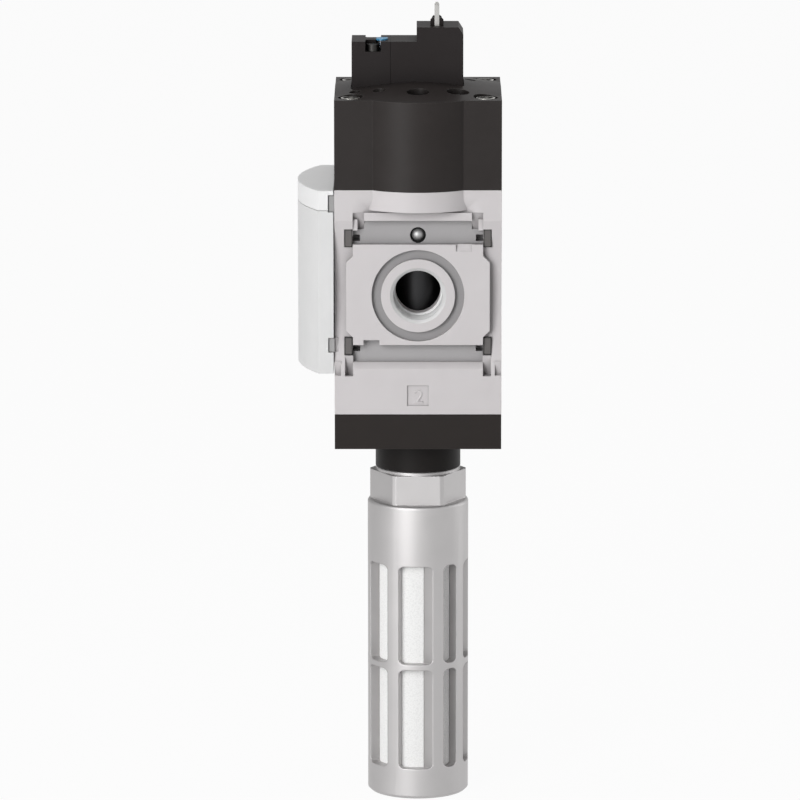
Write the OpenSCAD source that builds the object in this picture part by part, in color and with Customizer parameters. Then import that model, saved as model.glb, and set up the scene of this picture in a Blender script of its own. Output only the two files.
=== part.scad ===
// Pneumatic dump valve: a 3/2 poppet valve module with a solenoid pilot on top
// and an exhaust silencer below. Units are millimetres.
// X runs left to right, port 2 faces -Y, port 1 faces +Y, and Z is up.
// The origin is the centre of port 2 on the module's front face.

/* [Module] */
// Width of the module, left to right
module_w = 62; // [60:0.5:66]
// Depth of the module between its two port faces
module_d = 62; // [62:0.5:68]
// Height of the grey body above the port axis
body_up = 39.6; // [39.6:0.1:44]
// Depth of the grey body below the port axis
body_down = 44.8; // [44.8:0.1:50]
// Height of the black cap at its corners
cap_h = 33.5; // [33.5:0.1:38]
// Thickness of the black base plate
base_t = 13.2; // [12.5:0.1:16]
// Radius of the round bulge on each port face
bulge_r = 27; // [26:0.1:30]
// How far the bulge stands out of the port face
bulge_out = 5.9; // [4:0.1:7]
// Height of the bulge on the grey body, measured down from its top
bulge_foot = 7.6; // [6:0.1:8]
// Slope of the cap's cone, rise over run
cone_slope = 0.152; // [0.05:0.001:0.2]
// Radius of the cap's cone where it meets the flat corners
cone_r = 35.2; // [34:0.1:36]
// Radius of the flat in the middle of the cone
cone_flat_r = 9; // [8:0.1:12]

/* [Ports] */
// Radius of the bore of each pipe port, at the thread's crests
port_r = 9.3155; // [8.5:0.0005:9.5]
// Length of the thread of each pipe port
port_len = 11; // [10:0.1:11.5]
// Radius of the port's chamfer at the face
port_chamfer_r = 10.4; // [10:0.1:12]
// Radius of the passage behind the thread
passage_r = 8.45; // [7:0.05:8.5]
// Inner radius of the seal groove on each port face
groove_in_r = 13.75; // [13:0.05:14.5]
// Outer radius of the seal groove on each port face
groove_out_r = 17.2; // [16.5:0.05:17.5]
// Depth of the seal groove
groove_t = 2; // [1:0.1:2.5]
// Radius of the two auxiliary ports on the cap, at the thread's crests
aux_port_r = 4.283; // [4:0.001:4.4]
// Depth of the auxiliary ports below the cap's flat corners
aux_port_depth = 7; // [6:0.1:7.5]

/* [Main valve] */
// Travel of the valve
valve_travel = 5; // [3:0.1:5.5]
// Radius of the outlet chamber in the body
outlet_r = 14.5; // [14:0.1:15]
// Radius of the inlet chamber in the body
inlet_r = 22; // [21:0.1:23]
// Radius of the exhaust chamber in the body
exhaust_r = 17; // [16.5:0.1:18]
// Inner radius of both valve seats
seat_r = 9.5; // [9:0.05:9.8]
// Radius of the poppet
poppet_r = 11; // [10.9:0.1:11.5]
// Radius of the valve stem
stem_r = 5; // [4:0.1:5]
// Radius of the stem's balancing collar
collar_r = 9.5; // [8.5:0.1:10]
// Radius of the pilot cylinder in the cap
cylinder_r = 24; // [22:0.1:25]
// Thickness of the pilot piston
piston_t = 9; // [7:0.1:9]
// Radius of the return spring's wire
spring_wire_r = 1; // [0.7:0.05:1.05]
// Number of turns of the return spring
spring_turns = 6.5; // [4:0.5:9]
// Running clearance of parts that slide in a bore, on the radius
slide_gap = 0.05; // [0.02:0.01:0.09]

/* [Pilot valve] */
// Width of the pilot valve, front to back
pilot_d = 18.5; // [17:0.1:20]
// Height of the pilot valve's body above the cap's flat corners
pilot_h = 18.9; // [18.5:0.1:20]
// Extra height of the connector end
connector_h = 5.34; // [4:0.01:7]
// Thickness of the gasket under the pilot valve
gasket_t = 0.5; // [0.3:0.1:1]
// Stroke of the armature
armature_travel = 0.8; // [0.5:0.1:1]
// Radius of the armature
armature_r = 3.13; // [2.8:0.01:3.2]
// Travel of the manual override
override_travel = 0.85; // [0.5:0.05:0.85]
// Radius of the manual override button
override_r = 2.25; // [2:0.05:2.3]
// Height of the contact blades above the connector end
blade_h = 7.8; // [6:0.1:9]
// Width of a contact blade
blade_w = 1.75; // [1.2:0.05:2.2]
// Pitch of the throttle screw's thread
throttle_pitch = 0.5; // [0.35:0.05:0.5]

/* [Hood] */
// How far the side cover stands out of the body
hood_out = 14; // [12:0.1:18]
// Length of the cover's flat side facets, away from the body
hood_side = 6.9; // [5:0.1:8]
// Wall of the cover
hood_wall = 1.8; // [1.4:0.1:2.4]
// How far the cover's top lies below the top of the grey body
hood_drop = 0.2; // [0:0.1:3]
// Bottom of the cover below the port axis
hood_down = 29.3; // [26:0.1:36]
// Height of the cover's separate top
hood_cap_h = 5.1; // [4.5:0.1:7]

/* [Silencer] */
// Outer radius of the silencer
silencer_r = 19; // [18.5:0.1:21]
// Length of the silencer's slotted tube
silencer_len = 113; // [105:1:125]
// Width of the silencer's hexagon across its flats
hex_af = 32; // [30:0.5:34]
// Height of the silencer's hexagon
hex_h = 11.2; // [9:0.1:14]
// Wall of the slotted tube
silencer_wall = 3.6; // [3:0.1:4.2]
// Wall of the porous sleeve
sleeve_wall = 3; // [2:0.1:4]
// Length of each slot
slot_len = 38.8; // [34:0.1:39]
// Radius of the slots' corners
slot_corner_r = 2.6; // [1.5:0.1:3]
// Radius of the bore of the exhaust thread
exhaust_thread_r = 12.06; // [11.5:0.01:12.06]
// Outer radius of the black exhaust adapter
adapter_r = 16; // [15:0.1:17]
// Height of the black exhaust adapter below the base plate
adapter_h = 12; // [10:0.1:14]

/* [Hidden] */
$fn = 96;
// Overlap of a cut past the face that it opens
eps = 0.02;
// Gap on the radius of a part that is pressed or screwed into its bore
fit_gap = 0.02;

// Levels of the module, measured from the port axis
half_w = module_w / 2;
half_d = module_d / 2;
cap_top = body_up + cap_h;
base_bottom = -body_down - base_t;
adapter_bottom = base_bottom - adapter_h;

// Raised plate on each port face, as half widths and heights
plate_w = 24.15;
plate_wide_w = 26.65;
plate_up = 19.25;
plate_down = 18.6;
flare_up = 12.4;
flare_down = 13.2;
channel_t = 4;
channel_top = 28.15;
bar_top = 31.2;
bar_w = 20;
lower_channel = 25.3;
// Rounding above the upper bar and slope below the lower channel: depth and height
ledge_t = 2.5;
ledge_h = 5.8;
lip_t = 2.2;
lip_h = 2.3;
// Pockets beside the upper bar, and the posts that stand in them
pocket_t = channel_t + 1.2;
pocket_low = channel_top - 3.7;
post_in = 22.4;
post_sink = 1.2;
post_up = 0.4;
// Shallow steps in the plate's edge: inner end, outer end and height
step_t = 1.5;
upper_step = [14.1, 20, 2.5];
lower_step = [14.3, 20.2, 1.85];
// Slots behind the clips, and the pockets under the lower ones
slot_t = 9;
slot_in = 21.5;
upper_slot = [19.9, 22.4];
lower_slot = [-21.6, -19.1];
heel_t = 6.5;
heel_out = 27.1;
heel_zs = [-30.4, -21.2];
// Notches in the lower corners of the face
notch_t = 3;
notch_in = 28.6;
notch_zs = [-30.1, -24.9];
cove_r = 100;
cove_t = 4;
clip_in = 24.25;
clip_out = 27.35;
clip_up = 24.8;
clip_low = 22.6;
clip_h = 6.8;
clip_t = 1.4;
clip_sink = 1.4;
clip_leg = 5;
clip_gap = 0.06;
ball_z = 22.2;
ball_r = 2.3;
ball_ring_r = 2.95;
ball_ring_t = 1.6;
label_w = 8;
label_top = -33.9;
label_h = 7.7;
label_t = 0.5;

// Screws at the module's corners
screw_x = half_w - 6;
screw_y = half_d - 7.5;
screw_r = 2;
screw_hole_r = 2.2;
screw_head_r = 3.55;
screw_head_h = 4;
screw_af = 3;
// Rim round the dish in a screw's head, and the depth of the dish
head_rim = 0.9;
head_dish_t = 0.8;
// The base's screw heads lie this far inside its underside
head_sink = 0.5;
head_recess_r = 4.6;
screw_grip = 8;

// Static seals: radius of the rubber, and depth and height of their grooves
seal_r = 0.7;
seal_groove_t = 1.4;
seal_groove_h = 1.6;
// Seal round the stem's collar, and its running clearance
stem_seal_r = 0.93;
stem_seal_gap = 0.04;
// Mean radius of the seals above and below the body
cap_ring_r = 28.3;
base_ring_r = exhaust_r + 3;

// Side port under the cover, and the lugs on the body that hold the cover
gauge_r = 5.9;
gauge_len = 9;
gauge_flange_t = 2.5;
lug_out = 2;
lug_t = 1.2;
lug_sink = 0.6;
hood_up = body_up - hood_drop;
lug_zs = [[hood_up - 5.6, hood_up - 1.8], [8.1 - hood_down, 13.2 - hood_down]];
// The cover stands this far off the body's side
cover_gap = 0.3;
// Ribs across the cover's inside, their feet on the body, and the lap of its top
rib_zs = [-8, 14];
rib_t = 1.2;
rib_x = 4.8;
foot_y = 21;
lap_h = 2;
lap_t = 0.9;

// Levels of the main valve
guide_t = 3;
guide_r = 26;
guide_hub_r = 13.5;
guide_hub_up = body_up + 3.4;
guide_hub_down = body_up - 9.6;
guide_seal_z = body_up - guide_t / 2;
stem_seal_z = body_up - 2.6;
stem_seal_h = 2;
spanner_hole_r = 1.5;
spanner_circle_r = 18.5;
seat_flange_r = outlet_r + 1;
inlet_seat_top = 15;
inlet_seat_t = 4;
seat_lip = 1;
seat_lip_r = seat_r + 0.8;
seat_touch = 0.05;
web_top = -17;
web_bottom = -22;
web_r = outlet_r - 2;
exhaust_flange_t = 3;
inlet_lip_z = inlet_seat_top - inlet_seat_t - seat_lip;
exhaust_lip_z = web_top + 0.4;
poppet_top = inlet_lip_z - seat_touch;
poppet_bottom = exhaust_lip_z + valve_travel + seat_touch;
seal_ring_t = 1.6;
seal_ring_in = seat_r - 1.3;
stem_nut_h = 4;
stem_nut_af = 13;
cylinder_top = cap_top - 12.6;
piston_top = cylinder_top - 0.5;
piston_bottom = piston_top - piston_t;
piston_r = cylinder_r - 0.1;
piston_nut_h = 3.9;
piston_nut_af = 14;
nut_sink = 0.6;
nut_pocket_r = 9;
collar_len = piston_bottom - guide_hub_down + valve_travel - 2;
crescent_out = half_d - port_len;
crescent_in = seat_flange_r + 1.5;
crescent_span = 150;

// Spring seat in the base plate
base_bore_r = 14.5;
spider_hub_r = 9;
spider_top = -body_down + 2.8;
spider_bottom = -body_down - 5.2;
spider_pin_r = 4.8;
spider_pin_h = 4;
spring_mean_r = stem_r + 0.35 + spring_wire_r;
spigot_top = base_bottom + 6.5;

// Pilot valve, measured from the body axis and the cap's flat corners
pilot_x0 = -24.7;
pilot_seam_x = -10.2;
pilot_step_x = -0.5;
pilot_x1 = 16.85;
pilot_bevel_x = 15.1;
pilot_bevel_h = 2.75;
pilot_foot = cap_top + gasket_t;
pilot_top = cap_top + pilot_h;
connector_top = pilot_top + connector_h;
pocket_gap = 0.2;
gasket_in = 0.6;
coil_z = cap_top + 9.9;
coil_flange_r = 7.2;
coil_flange_t = 1.2;
coil_barrel_r = 4.2;
coil_len = 22.3;
core_x0 = -0.2;
core_end_t = 1.6;
armature_x0 = -13.25;
armature_len = core_x0 - armature_travel - armature_x0;
armature_seal_out = 0.6;
armature_seal_sink = 0.9;
armature_pocket_r = 1.9;
armature_pocket_t = 5;
pilot_screw_x = -16.7;
pilot_screw_y = pilot_d / 2 - 2.95;
pilot_head_r = 2.35;
pilot_head_h = 2.6;
pilot_recess_r = 2.875;
pilot_recess_depth = 3.8;
pilot_recess_corner = 1.2;
// Depth of the pilot screws' holes in the cap, and how far the screws go in
pilot_hole_depth = 7;
pilot_grip = 6.3;
pilot_shank_r = 1.28;
pilot_hole_r = 1.6;
pilot_slot_w = 0.6;
pilot_slot_t = 0.9;
override_x = -13.4;
override_y = -3.2;
override_cap_h = 0.75;
override_up = 0.6;
override_pin_r = 1.1;
// Underside of the button's head, and seat of its spring
override_cap_z = pilot_top + override_up - override_cap_h;
override_seat = pilot_top - 3.6;
// Back of the chamber in front of the armature, and the passage down into the cap
nozzle_x = -15.2;
feed_x = -20;
blade_x = 7.05;
blade_y = 4;
blade_t = 0.8;
collar_front_w = 4.9;
collar_rear_w = 3.7;
collar_back = 1.4;
throttle_x = -14.3;
throttle_y = -17.5;
throttle_r = 2.5;
throttle_up = 0.9;
throttle_top = cap_top + throttle_up;
throttle_head_h = 2.4;
throttle_len = 6;
throttle_turns = 3.2;
throttle_travel = throttle_turns * throttle_pitch;
needle_top = throttle_top - 3.5;
needle_h = 3.5;
needle_tip_h = 1.7;
throttle_shank_r = 1.3;
throttle_floor = needle_top - needle_h - needle_tip_h - throttle_travel - 0.1;
aux_ports = [[0, -22], [14.7, -19.3]];
plug_spots = [[-23.4, -15.7], [19.6, 8.4]];
plug_r = 2.1;
plug_t = 4;

// Silencer levels
neck_top = adapter_bottom - 0.05;
hex_top = adapter_bottom - 1.5;
shoulder_z = hex_top - hex_h;
silencer_bottom = shoulder_z - silencer_len;
end_cap_in = 1.5;
end_cap_t = 4;
end_recess_r = 9;
end_recess_t = 1.1;
sleeve_r = silencer_r - silencer_wall - 0.1;
sleeve_top = shoulder_z - 4;
sleeve_bottom = silencer_bottom + end_cap_in + end_cap_t;
slot_gap = 2.3;
slot_first = 21;
// Radius that the hexagon's corners are turned down to
hex_corner_r = hex_af / 2 + 2.05;
// Rounding of the tube's shoulder and chamfer of its lower edge
shoulder_r = 1.3;
tube_edge = 1;
// Short neck above the hexagon, with the groove for its seal
neck_r = hex_af / 2 - 0.1;
neck_edge = 0.5;
silencer_seal_r = 14.2;
silencer_seal_t = 1;
nipple_top = base_bottom + 1;
nipple_r = exhaust_thread_r - 0.04;
nipple_wall = 2.8;
// Slots round half of the tube: start, end and how far each wall leans from square
slot_angles = [[-71.8, -37.3, 0, 0], [-22.9, 17.2, 0, 33], [30.8, 49.8, 0, 0], [63.8, 94.2, 0, 0]];

module at_axis() {
    translate([0, half_d, 0]) children();
}

module both_faces() {
    children();
    mirror([0, 1, 0]) children();
}

module both_sides() {
    children();
    mirror([1, 0, 0]) children();
}

module at_corners() {
    for (sx = [-1, 1], sy = [-1, 1]) translate([sx * screw_x, sy * screw_y, 0]) children();
}

// Draws a flat outline (x, z) on a port face and pushes it inwards by depth
module from_face(depth) {
    translate([0, depth - half_d, 0]) rotate([90, 0, 0]) linear_extrude(depth + eps) children();
}

module zbox(x0, x1, z0, z1) {
    translate([x0, z0]) square([x1 - x0, z1 - z0]);
}

module bulge(z0, z1) {
    translate([0, bulge_r - bulge_out - half_d, z0]) cylinder(r = bulge_r, h = z1 - z0);
}

module o_ring(mean_r, z, wire_r = seal_r) {
    translate([0, 0, z]) rotate_extrude() translate([mean_r, 0]) circle(r = wire_r, $fn = 32);
}

// Seal that lies in a groove and touches a bore of radius bore_r
module groove_ring(bore_r, z) {
    o_ring(bore_r - seal_r, z);
}

module seal_groove(bore_r, z) {
    ring(bore_r - seal_groove_t, bore_r + 1, z - seal_groove_h / 2, z + seal_groove_h / 2);
}

module ring(r_in, r_out, z0, z1) {
    translate([0, 0, z0]) difference() {
        cylinder(r = r_out, h = z1 - z0);
        translate([0, 0, -eps]) cylinder(r = r_in, h = z1 - z0 + 2 * eps);
    }
}

// Coil spring along Z whose first and last turns lie close against their neighbours
module coil_spring(mean_r, wire_r, z0, z1, turns, steps, sides) {
    count = turns * steps;
    close_pitch = 2.2 * wire_r;
    open_pitch = (z1 - z0 - 2 * wire_r - 2 * close_pitch) / (turns - 2);
    function climb(t) = close_pitch * min(t, 1) + open_pitch * max(0, min(t, turns - 1) - 1)
        + close_pitch * max(0, t - turns + 1);
    points = [for (i = [0:count]) let (a = 360 * i / steps, z = z0 + wire_r + climb(i / steps))
        for (k = [0:sides - 1]) let (b = 360 * k / sides, r = mean_r + wire_r * cos(b))
        [r * cos(a), r * sin(a), z + wire_r * sin(b)]];
    walls = [for (i = [0:count - 1], k = [0:sides - 1]) let (n = (k + 1) % sides)
        [i * sides + k, i * sides + n, (i + 1) * sides + n, (i + 1) * sides + k]];
    ends = [[for (k = [sides - 1:-1:0]) k], [for (k = [0:sides - 1]) count * sides + k]];
    polyhedron(points = points, faces = concat(walls, ends), convexity = 10);
}

// Outline of the raised octagonal plate, in X and Z
module plate_outline() {
    flare = plate_wide_w - plate_w;
    right = [[plate_w, plate_up], [plate_w, flare_up + flare], [plate_wide_w, flare_up],
        [plate_wide_w, -flare_down], [plate_w, -flare_down - flare], [plate_w, -plate_down]];
    left = [for (i = [len(right) - 1:-1:0]) [-right[i][0], right[i][1]]];
    polygon(concat(right, left));
}

// Shallow hollow on each side of the plate, deepest at the port axis
module side_coves() {
    difference() {
        translate([0, -half_d - cove_r + cove_t, 0]) rotate([0, 90, 0])
            cylinder(r = cove_r, h = module_w + 2, center = true, $fn = 180);
        translate([-plate_w, -half_d - bulge_out - 1, -body_down])
            cube([2 * plate_w, module_d, body_down + body_up]);
        from_face(cove_t + 1) plate_outline();
    }
}

module clip_places() {
    both_sides() {
        zbox(clip_in, clip_out, clip_up - clip_h, clip_up);
        zbox(clip_in, clip_out, -clip_low, clip_h - clip_low);
    }
}

module clip_legs() {
    both_sides() {
        zbox(clip_in + 0.4, clip_out - 1, clip_up - clip_h + 1.6, clip_up - 1.4);
        zbox(clip_in + 0.4, clip_out - 1, 1.6 - clip_low, clip_h - clip_low - 1.6);
    }
}

// Everything that is cut into one port face
module face_cuts() {
    from_face(channel_t) zbox(-plate_w, plate_w, plate_up, channel_top);
    both_sides() translate([bar_w, -half_d, 0]) rotate([90, 0, 90]) linear_extrude(plate_w - bar_w)
        polygon([[-1, pocket_low], [pocket_t, pocket_low], [ledge_t, bar_top + eps], [-1, bar_top + eps]]);
    from_face(channel_t) zbox(-plate_w, plate_w, -lower_channel, -plate_down);
    face_slope(-lower_channel, lip_t, -lip_h);
    from_face(step_t) zbox(upper_step[0], upper_step[1], plate_up - upper_step[2], plate_up + eps);
    from_face(step_t) zbox(-lower_step[1], -lower_step[0], -plate_down - eps, lower_step[2] - plate_down);
    from_face(heel_t) both_sides() zbox(plate_w - eps, heel_out, heel_zs[0], heel_zs[1]);
    from_face(notch_t) both_sides() zbox(notch_in, half_w + 1, notch_zs[0], notch_zs[1]);
    from_face(slot_t) both_sides() zbox(slot_in, clip_in, upper_slot[0], upper_slot[1]);
    from_face(slot_t) both_sides() zbox(slot_in, clip_in, lower_slot[0], lower_slot[1]);
    from_face(clip_sink + clip_t) clip_places();
    from_face(clip_sink + clip_t + clip_leg) clip_legs();
    from_face(label_t) zbox(-label_w / 2, label_w / 2, label_top - label_h, label_top);
    side_coves();
    translate([0, -half_d, 0]) rotate([-90, 0, 0]) {
        translate([0, 0, -eps]) cylinder(r = port_r, h = port_len + eps);
        port_chamfer();
        rotate_extrude() translate([groove_in_r, -eps])
            square([groove_out_r - groove_in_r, groove_t + eps]);
    }
    translate([0, -half_d, ball_z]) rotate([-90, 0, 0]) {
        translate([0, 0, channel_t - eps]) cylinder(r = ball_ring_r, h = ball_ring_t);
        cylinder(r = ball_r, h = half_d - inlet_r + 3);
    }
}

module port_chamfer() {
    rise = port_chamfer_r - port_r;
    translate([0, 0, -eps]) cylinder(r1 = port_chamfer_r + eps, r2 = port_r - eps, h = rise + 2 * eps);
}

// Light posts and ribs that stand in the corner pockets of a port face
module face_ribs() {
    from_face_at(post_sink, pocket_t + 0.1) both_sides()
        zbox(post_in, plate_w, pocket_low - 0.1, channel_top + post_up);
}

// Slab between two depths behind a port face
module from_face_at(depth0, depth1) {
    translate([0, depth1 - half_d, 0]) rotate([90, 0, 0]) linear_extrude(depth1 - depth0) children();
}

// Rounding that turns a port face inwards: depth t at level z, nothing at level z + h
module face_rounding(z, t, h) {
    r = (t * t + h * h) / (2 * t);
    difference() {
        translate([-plate_w, -half_d - 1, z]) cube([2 * plate_w, t + 1, h]);
        translate([-plate_w - 1, r - half_d, z + h]) rotate([0, 90, 0]) cylinder(r = r, h = 2 * plate_w + 2);
    }
}

// Wedge cut into a port face: depth t at level z, running out to nothing over height h
module face_slope(z, t, h) {
    translate([-plate_w, -half_d, z]) rotate([90, 0, 90]) linear_extrude(2 * plate_w)
        polygon([[-1, 0], [t, 0], [0, h], [-1, h]]);
}

module body_cavities() {
    translate([0, 0, body_up - guide_t]) cylinder(r = guide_r, h = guide_t + eps);
    translate([0, 0, inlet_seat_top]) cylinder(r = inlet_r, h = body_up - guide_t - inlet_seat_top + eps);
    translate([0, 0, inlet_seat_top - inlet_seat_t]) cylinder(r = seat_flange_r, h = inlet_seat_t + eps);
    translate([0, 0, web_top]) cylinder(r = outlet_r, h = inlet_seat_top - inlet_seat_t - web_top + eps);
    translate([0, 0, web_bottom - eps]) cylinder(r = web_r, h = web_top - web_bottom + 2 * eps);
    translate([0, 0, -body_down - eps]) cylinder(r = exhaust_r, h = body_down + web_bottom + eps);
    ring(exhaust_r - 1, exhaust_r + 1, web_bottom - exhaust_flange_t - 1.3, web_bottom - exhaust_flange_t);
    translate([0, port_len - half_d - eps, 0]) rotate([-90, 0, 0])
        cylinder(r = passage_r, h = half_d - port_len);
    rotate([0, 0, 90 - crescent_span / 2]) rotate_extrude(angle = crescent_span)
        translate([crescent_in, -passage_r])
        square([crescent_out - crescent_in + eps, passage_r + inlet_seat_top + 1]);
    translate([-half_w - eps, 0, 0]) rotate([0, 90, 0]) cylinder(r = gauge_r, h = gauge_len);
    translate([-half_w, 0, 0]) rotate([0, 90, 0]) cylinder(r = 3, h = half_w - outlet_r + 2);
    ring(cap_ring_r - 0.9, cap_ring_r + 0.9, body_up - seal_groove_t, body_up + eps);
    at_corners() {
        translate([0, 0, body_up - screw_grip]) cylinder(r = screw_r + fit_gap, h = screw_grip + eps);
        translate([0, 0, -body_down - eps]) cylinder(r = screw_r + fit_gap, h = screw_grip);
    }
}

// Lugs beside the body, each with a root that reaches below the hollow in the face
module cover_lugs() {
    for (z = lug_zs) both_faces() translate([-half_w, lug_sink - half_d, z[0]]) {
        translate([-lug_out, 0, 0]) cube([lug_out + lug_t, lug_t, z[1] - z[0]]);
        cube([lug_t, cove_t, z[1] - z[0]]);
    }
}

module body_casting() color("#d6d2d3") at_axis() {
    difference() {
        union() {
            difference() {
                translate([-half_w, -half_d, -body_down]) cube([module_w, module_d, body_down + body_up]);
                both_faces() face_rounding(bar_top, ledge_t, ledge_h);
            }
            both_faces() bulge(body_up - bulge_foot, body_up);
        }
        both_faces() face_cuts();
        body_cavities();
    }
    both_faces() face_ribs();
    cover_lugs();
}

module cone_top() {
    rise = cone_slope * (cone_r - cone_flat_r);
    translate([0, 0, cap_top]) intersection() {
        rotate_extrude() polygon([[0, -1], [cone_r, -1], [cone_r, 0], [cone_flat_r, rise], [0, rise]]);
        union() {
            translate([-half_w, -half_d, -1]) cube([module_w, module_d, rise + 2]);
            both_faces() translate([0, 0, -1]) bulge(0, rise + 2);
        }
    }
}

module cap_housing() color("#383534") at_axis() difference() {
    union() {
        translate([-half_w, -half_d, body_up]) cube([module_w, module_d, cap_h]);
        both_faces() bulge(body_up, cap_top);
        cone_top();
    }
    translate([0, 0, body_up - eps]) cylinder(r = cylinder_r, h = cylinder_top - body_up + eps);
    at_corners() {
        translate([0, 0, body_up - eps]) cylinder(r = screw_hole_r, h = cap_h + 1);
        translate([0, 0, cap_top - screw_head_h]) cylinder(r = head_recess_r, h = screw_head_h + 2);
    }
    translate([pilot_x0 - pocket_gap, -pilot_d / 2 - pocket_gap, cap_top])
        cube([pilot_x1 - pilot_x0 + 2 * pocket_gap, pilot_d + 2 * pocket_gap, 8]);
    for (p = aux_ports) translate([p[0], p[1], cap_top - aux_port_depth]) {
        cylinder(r = aux_port_r, h = aux_port_depth + 8);
        translate([0, 0, -3]) cylinder(r = 1.2, h = 4);
    }
    translate([throttle_x, throttle_y, throttle_floor]) cylinder(r = throttle_r, h = 16);
    translate([throttle_x, throttle_y, cylinder_top - eps]) cylinder(r = 1, h = 4);
    for (p = plug_spots) translate([p[0], p[1], cap_top - plug_t]) cylinder(r = plug_r, h = plug_t + 8);
    for (sy = [-1, 1]) translate([pilot_screw_x, sy * pilot_screw_y, cap_top - pilot_hole_depth])
        cylinder(r = pilot_shank_r + fit_gap, h = pilot_hole_depth + 1);
    translate([feed_x, 0, cylinder_top - eps]) cylinder(r = 1.2, h = cap_top - cylinder_top + 1);
    translate([cylinder_r - 1, 0, body_up + 2]) rotate([0, 90, 0]) cylinder(r = 1, h = 10);
}

module base_plate() color("#36322f") at_axis() difference() {
    union() {
        difference() {
            translate([-half_w, -half_d, base_bottom]) cube([module_w, module_d, base_t]);
            translate([0, 0, base_bottom - eps]) cylinder(r = base_bore_r, h = base_t + 2 * eps);
        }
        for (a = [0, 120, 240]) rotate([0, 0, a]) translate([0, -1.5, spider_bottom])
            cube([base_bore_r + 1, 3, -body_down - spider_bottom - 0.5]);
        translate([0, 0, spider_bottom]) cylinder(r = spider_hub_r, h = spider_top - spider_bottom);
        translate([0, 0, spider_top]) cylinder(r = spider_pin_r, h = spider_pin_h);
    }
    at_corners() {
        translate([0, 0, base_bottom - eps]) cylinder(r = screw_hole_r, h = base_t + 1);
        translate([0, 0, base_bottom - eps]) cylinder(r = head_recess_r, h = screw_head_h + head_sink + eps);
    }
    ring(base_ring_r - 0.9, base_ring_r + 0.9, -body_down - seal_groove_t, -body_down + eps);
    translate([0, 0, spider_bottom - eps]) cylinder(r = 2, h = spider_top - spider_bottom + spider_pin_h + 1);
}

module exhaust_adapter() color("#2a2726") at_axis() difference() {
    rotate_extrude() polygon([[0, adapter_bottom], [adapter_r, adapter_bottom],
        [adapter_r, base_bottom - 1.4], [adapter_r + 1.4, base_bottom - 0.6],
        [adapter_r + 1.4, base_bottom], [base_bore_r - 0.05, base_bottom],
        [base_bore_r - 0.05, spigot_top], [0, spigot_top]]);
    translate([0, 0, adapter_bottom - eps]) cylinder(r = exhaust_thread_r, h = adapter_h + 3);
    translate([0, 0, adapter_bottom - eps]) cylinder(r = exhaust_thread_r - 1.2, h = adapter_h + base_t);
    translate([0, 0, adapter_bottom - eps])
        cylinder(r1 = exhaust_thread_r + 1, r2 = exhaust_thread_r - eps, h = 1 + eps);
    seal_groove(base_bore_r, spigot_top - 2.3);
}

module cap_seal() color("#1c1c1c") at_axis() o_ring(cap_ring_r, body_up - seal_r);

module base_seal() color("#1c1c1c") at_axis() o_ring(base_ring_r, -body_down - seal_r);

module adapter_seal() color("#1c1c1c") at_axis() groove_ring(base_bore_r, spigot_top - 2.3);

module socket_screw(r, head_r, head_h, shank_h, af) {
    difference() {
        union() {
            translate([0, 0, -head_h]) cylinder(r = head_r, h = head_h);
            translate([0, 0, -head_h - shank_h]) cylinder(r = r, h = shank_h + eps);
        }
        translate([0, 0, -head_h * 0.6]) cylinder(d = af / cos(30), h = head_h, $fn = 6);
        translate([0, 0, -head_dish_t])
            cylinder(r1 = af / 2 + 0.2, r2 = head_r - head_rim, h = head_dish_t + eps);
    }
}

module cap_screws() color("#c9c9c9") at_axis() at_corners() translate([0, 0, cap_top])
    socket_screw(screw_r, screw_head_r, screw_head_h, cap_h - screw_head_h + screw_grip - 0.5, screw_af);

module base_screws() color("#8f8f8f") at_axis() at_corners() translate([0, 0, base_bottom]) mirror([0, 0, 1])
    translate([0, 0, -head_sink])
    socket_screw(screw_r, screw_head_r, screw_head_h, base_t - screw_head_h + screw_grip - 1, screw_af);

// Plan of the cover grown inwards by wall: flat sides and one large front arc
module cover_plan(wall) {
    span = half_d;
    drop = hood_out - hood_side;
    arc_r = (span * span + drop * drop) / (2 * drop);
    intersection() {
        translate([-half_w - hood_out, -half_d + wall]) square([hood_out, module_d - 2 * wall]);
        translate([arc_r - half_w - hood_out, 0]) circle(r = arc_r - wall, $fn = 240);
    }
}

module cover_shell(z0, z1, floor_z, roof_z) {
    difference() {
        translate([0, 0, z0]) linear_extrude(z1 - z0) intersection() {
            cover_plan(0);
            translate([-half_w - hood_out, -half_d]) square([hood_out - cover_gap, module_d]);
        }
        translate([0, 0, floor_z]) linear_extrude(roof_z - floor_z) cover_plan(hood_wall);
        for (z = lug_zs) both_faces() translate([-half_w - lug_out - cover_gap, -half_d - eps, z[0] - 0.2])
            cube([lug_out + 1, hood_wall + 0.2, z[1] - z[0] + 0.4]);
    }
}

module hood_front() color("#e0e0e0") at_axis() {
    seam = hood_up - hood_cap_h;
    cover_shell(-hood_down, seam - 0.15, -hood_down + hood_wall, seam + 1);
    for (z = rib_zs) translate([0, 0, z]) linear_extrude(rib_t) difference() {
        cover_plan(hood_wall - 0.1);
        translate([rib_x - half_w - hood_out, -half_d - 1]) square([hood_out, module_d + 2]);
    }
    for (z = rib_zs, sy = [-1, 1]) translate([-half_w - hood_out + hood_wall, sy * foot_y - 1, z])
        cube([hood_out - hood_wall, 2, rib_t]);
}

module hood_cap() color("#e2e2e2") at_axis() {
    seam = hood_up - hood_cap_h;
    cover_shell(seam, hood_up, seam - 1, hood_up - hood_wall);
    translate([0, 0, seam - lap_h]) linear_extrude(lap_h + 1.5) difference() {
        cover_plan(hood_wall);
        cover_plan(hood_wall + lap_t);
        translate([-half_w - lug_out - cover_gap - 1, -half_d]) square([hood_out, module_d]);
    }
}

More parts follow.
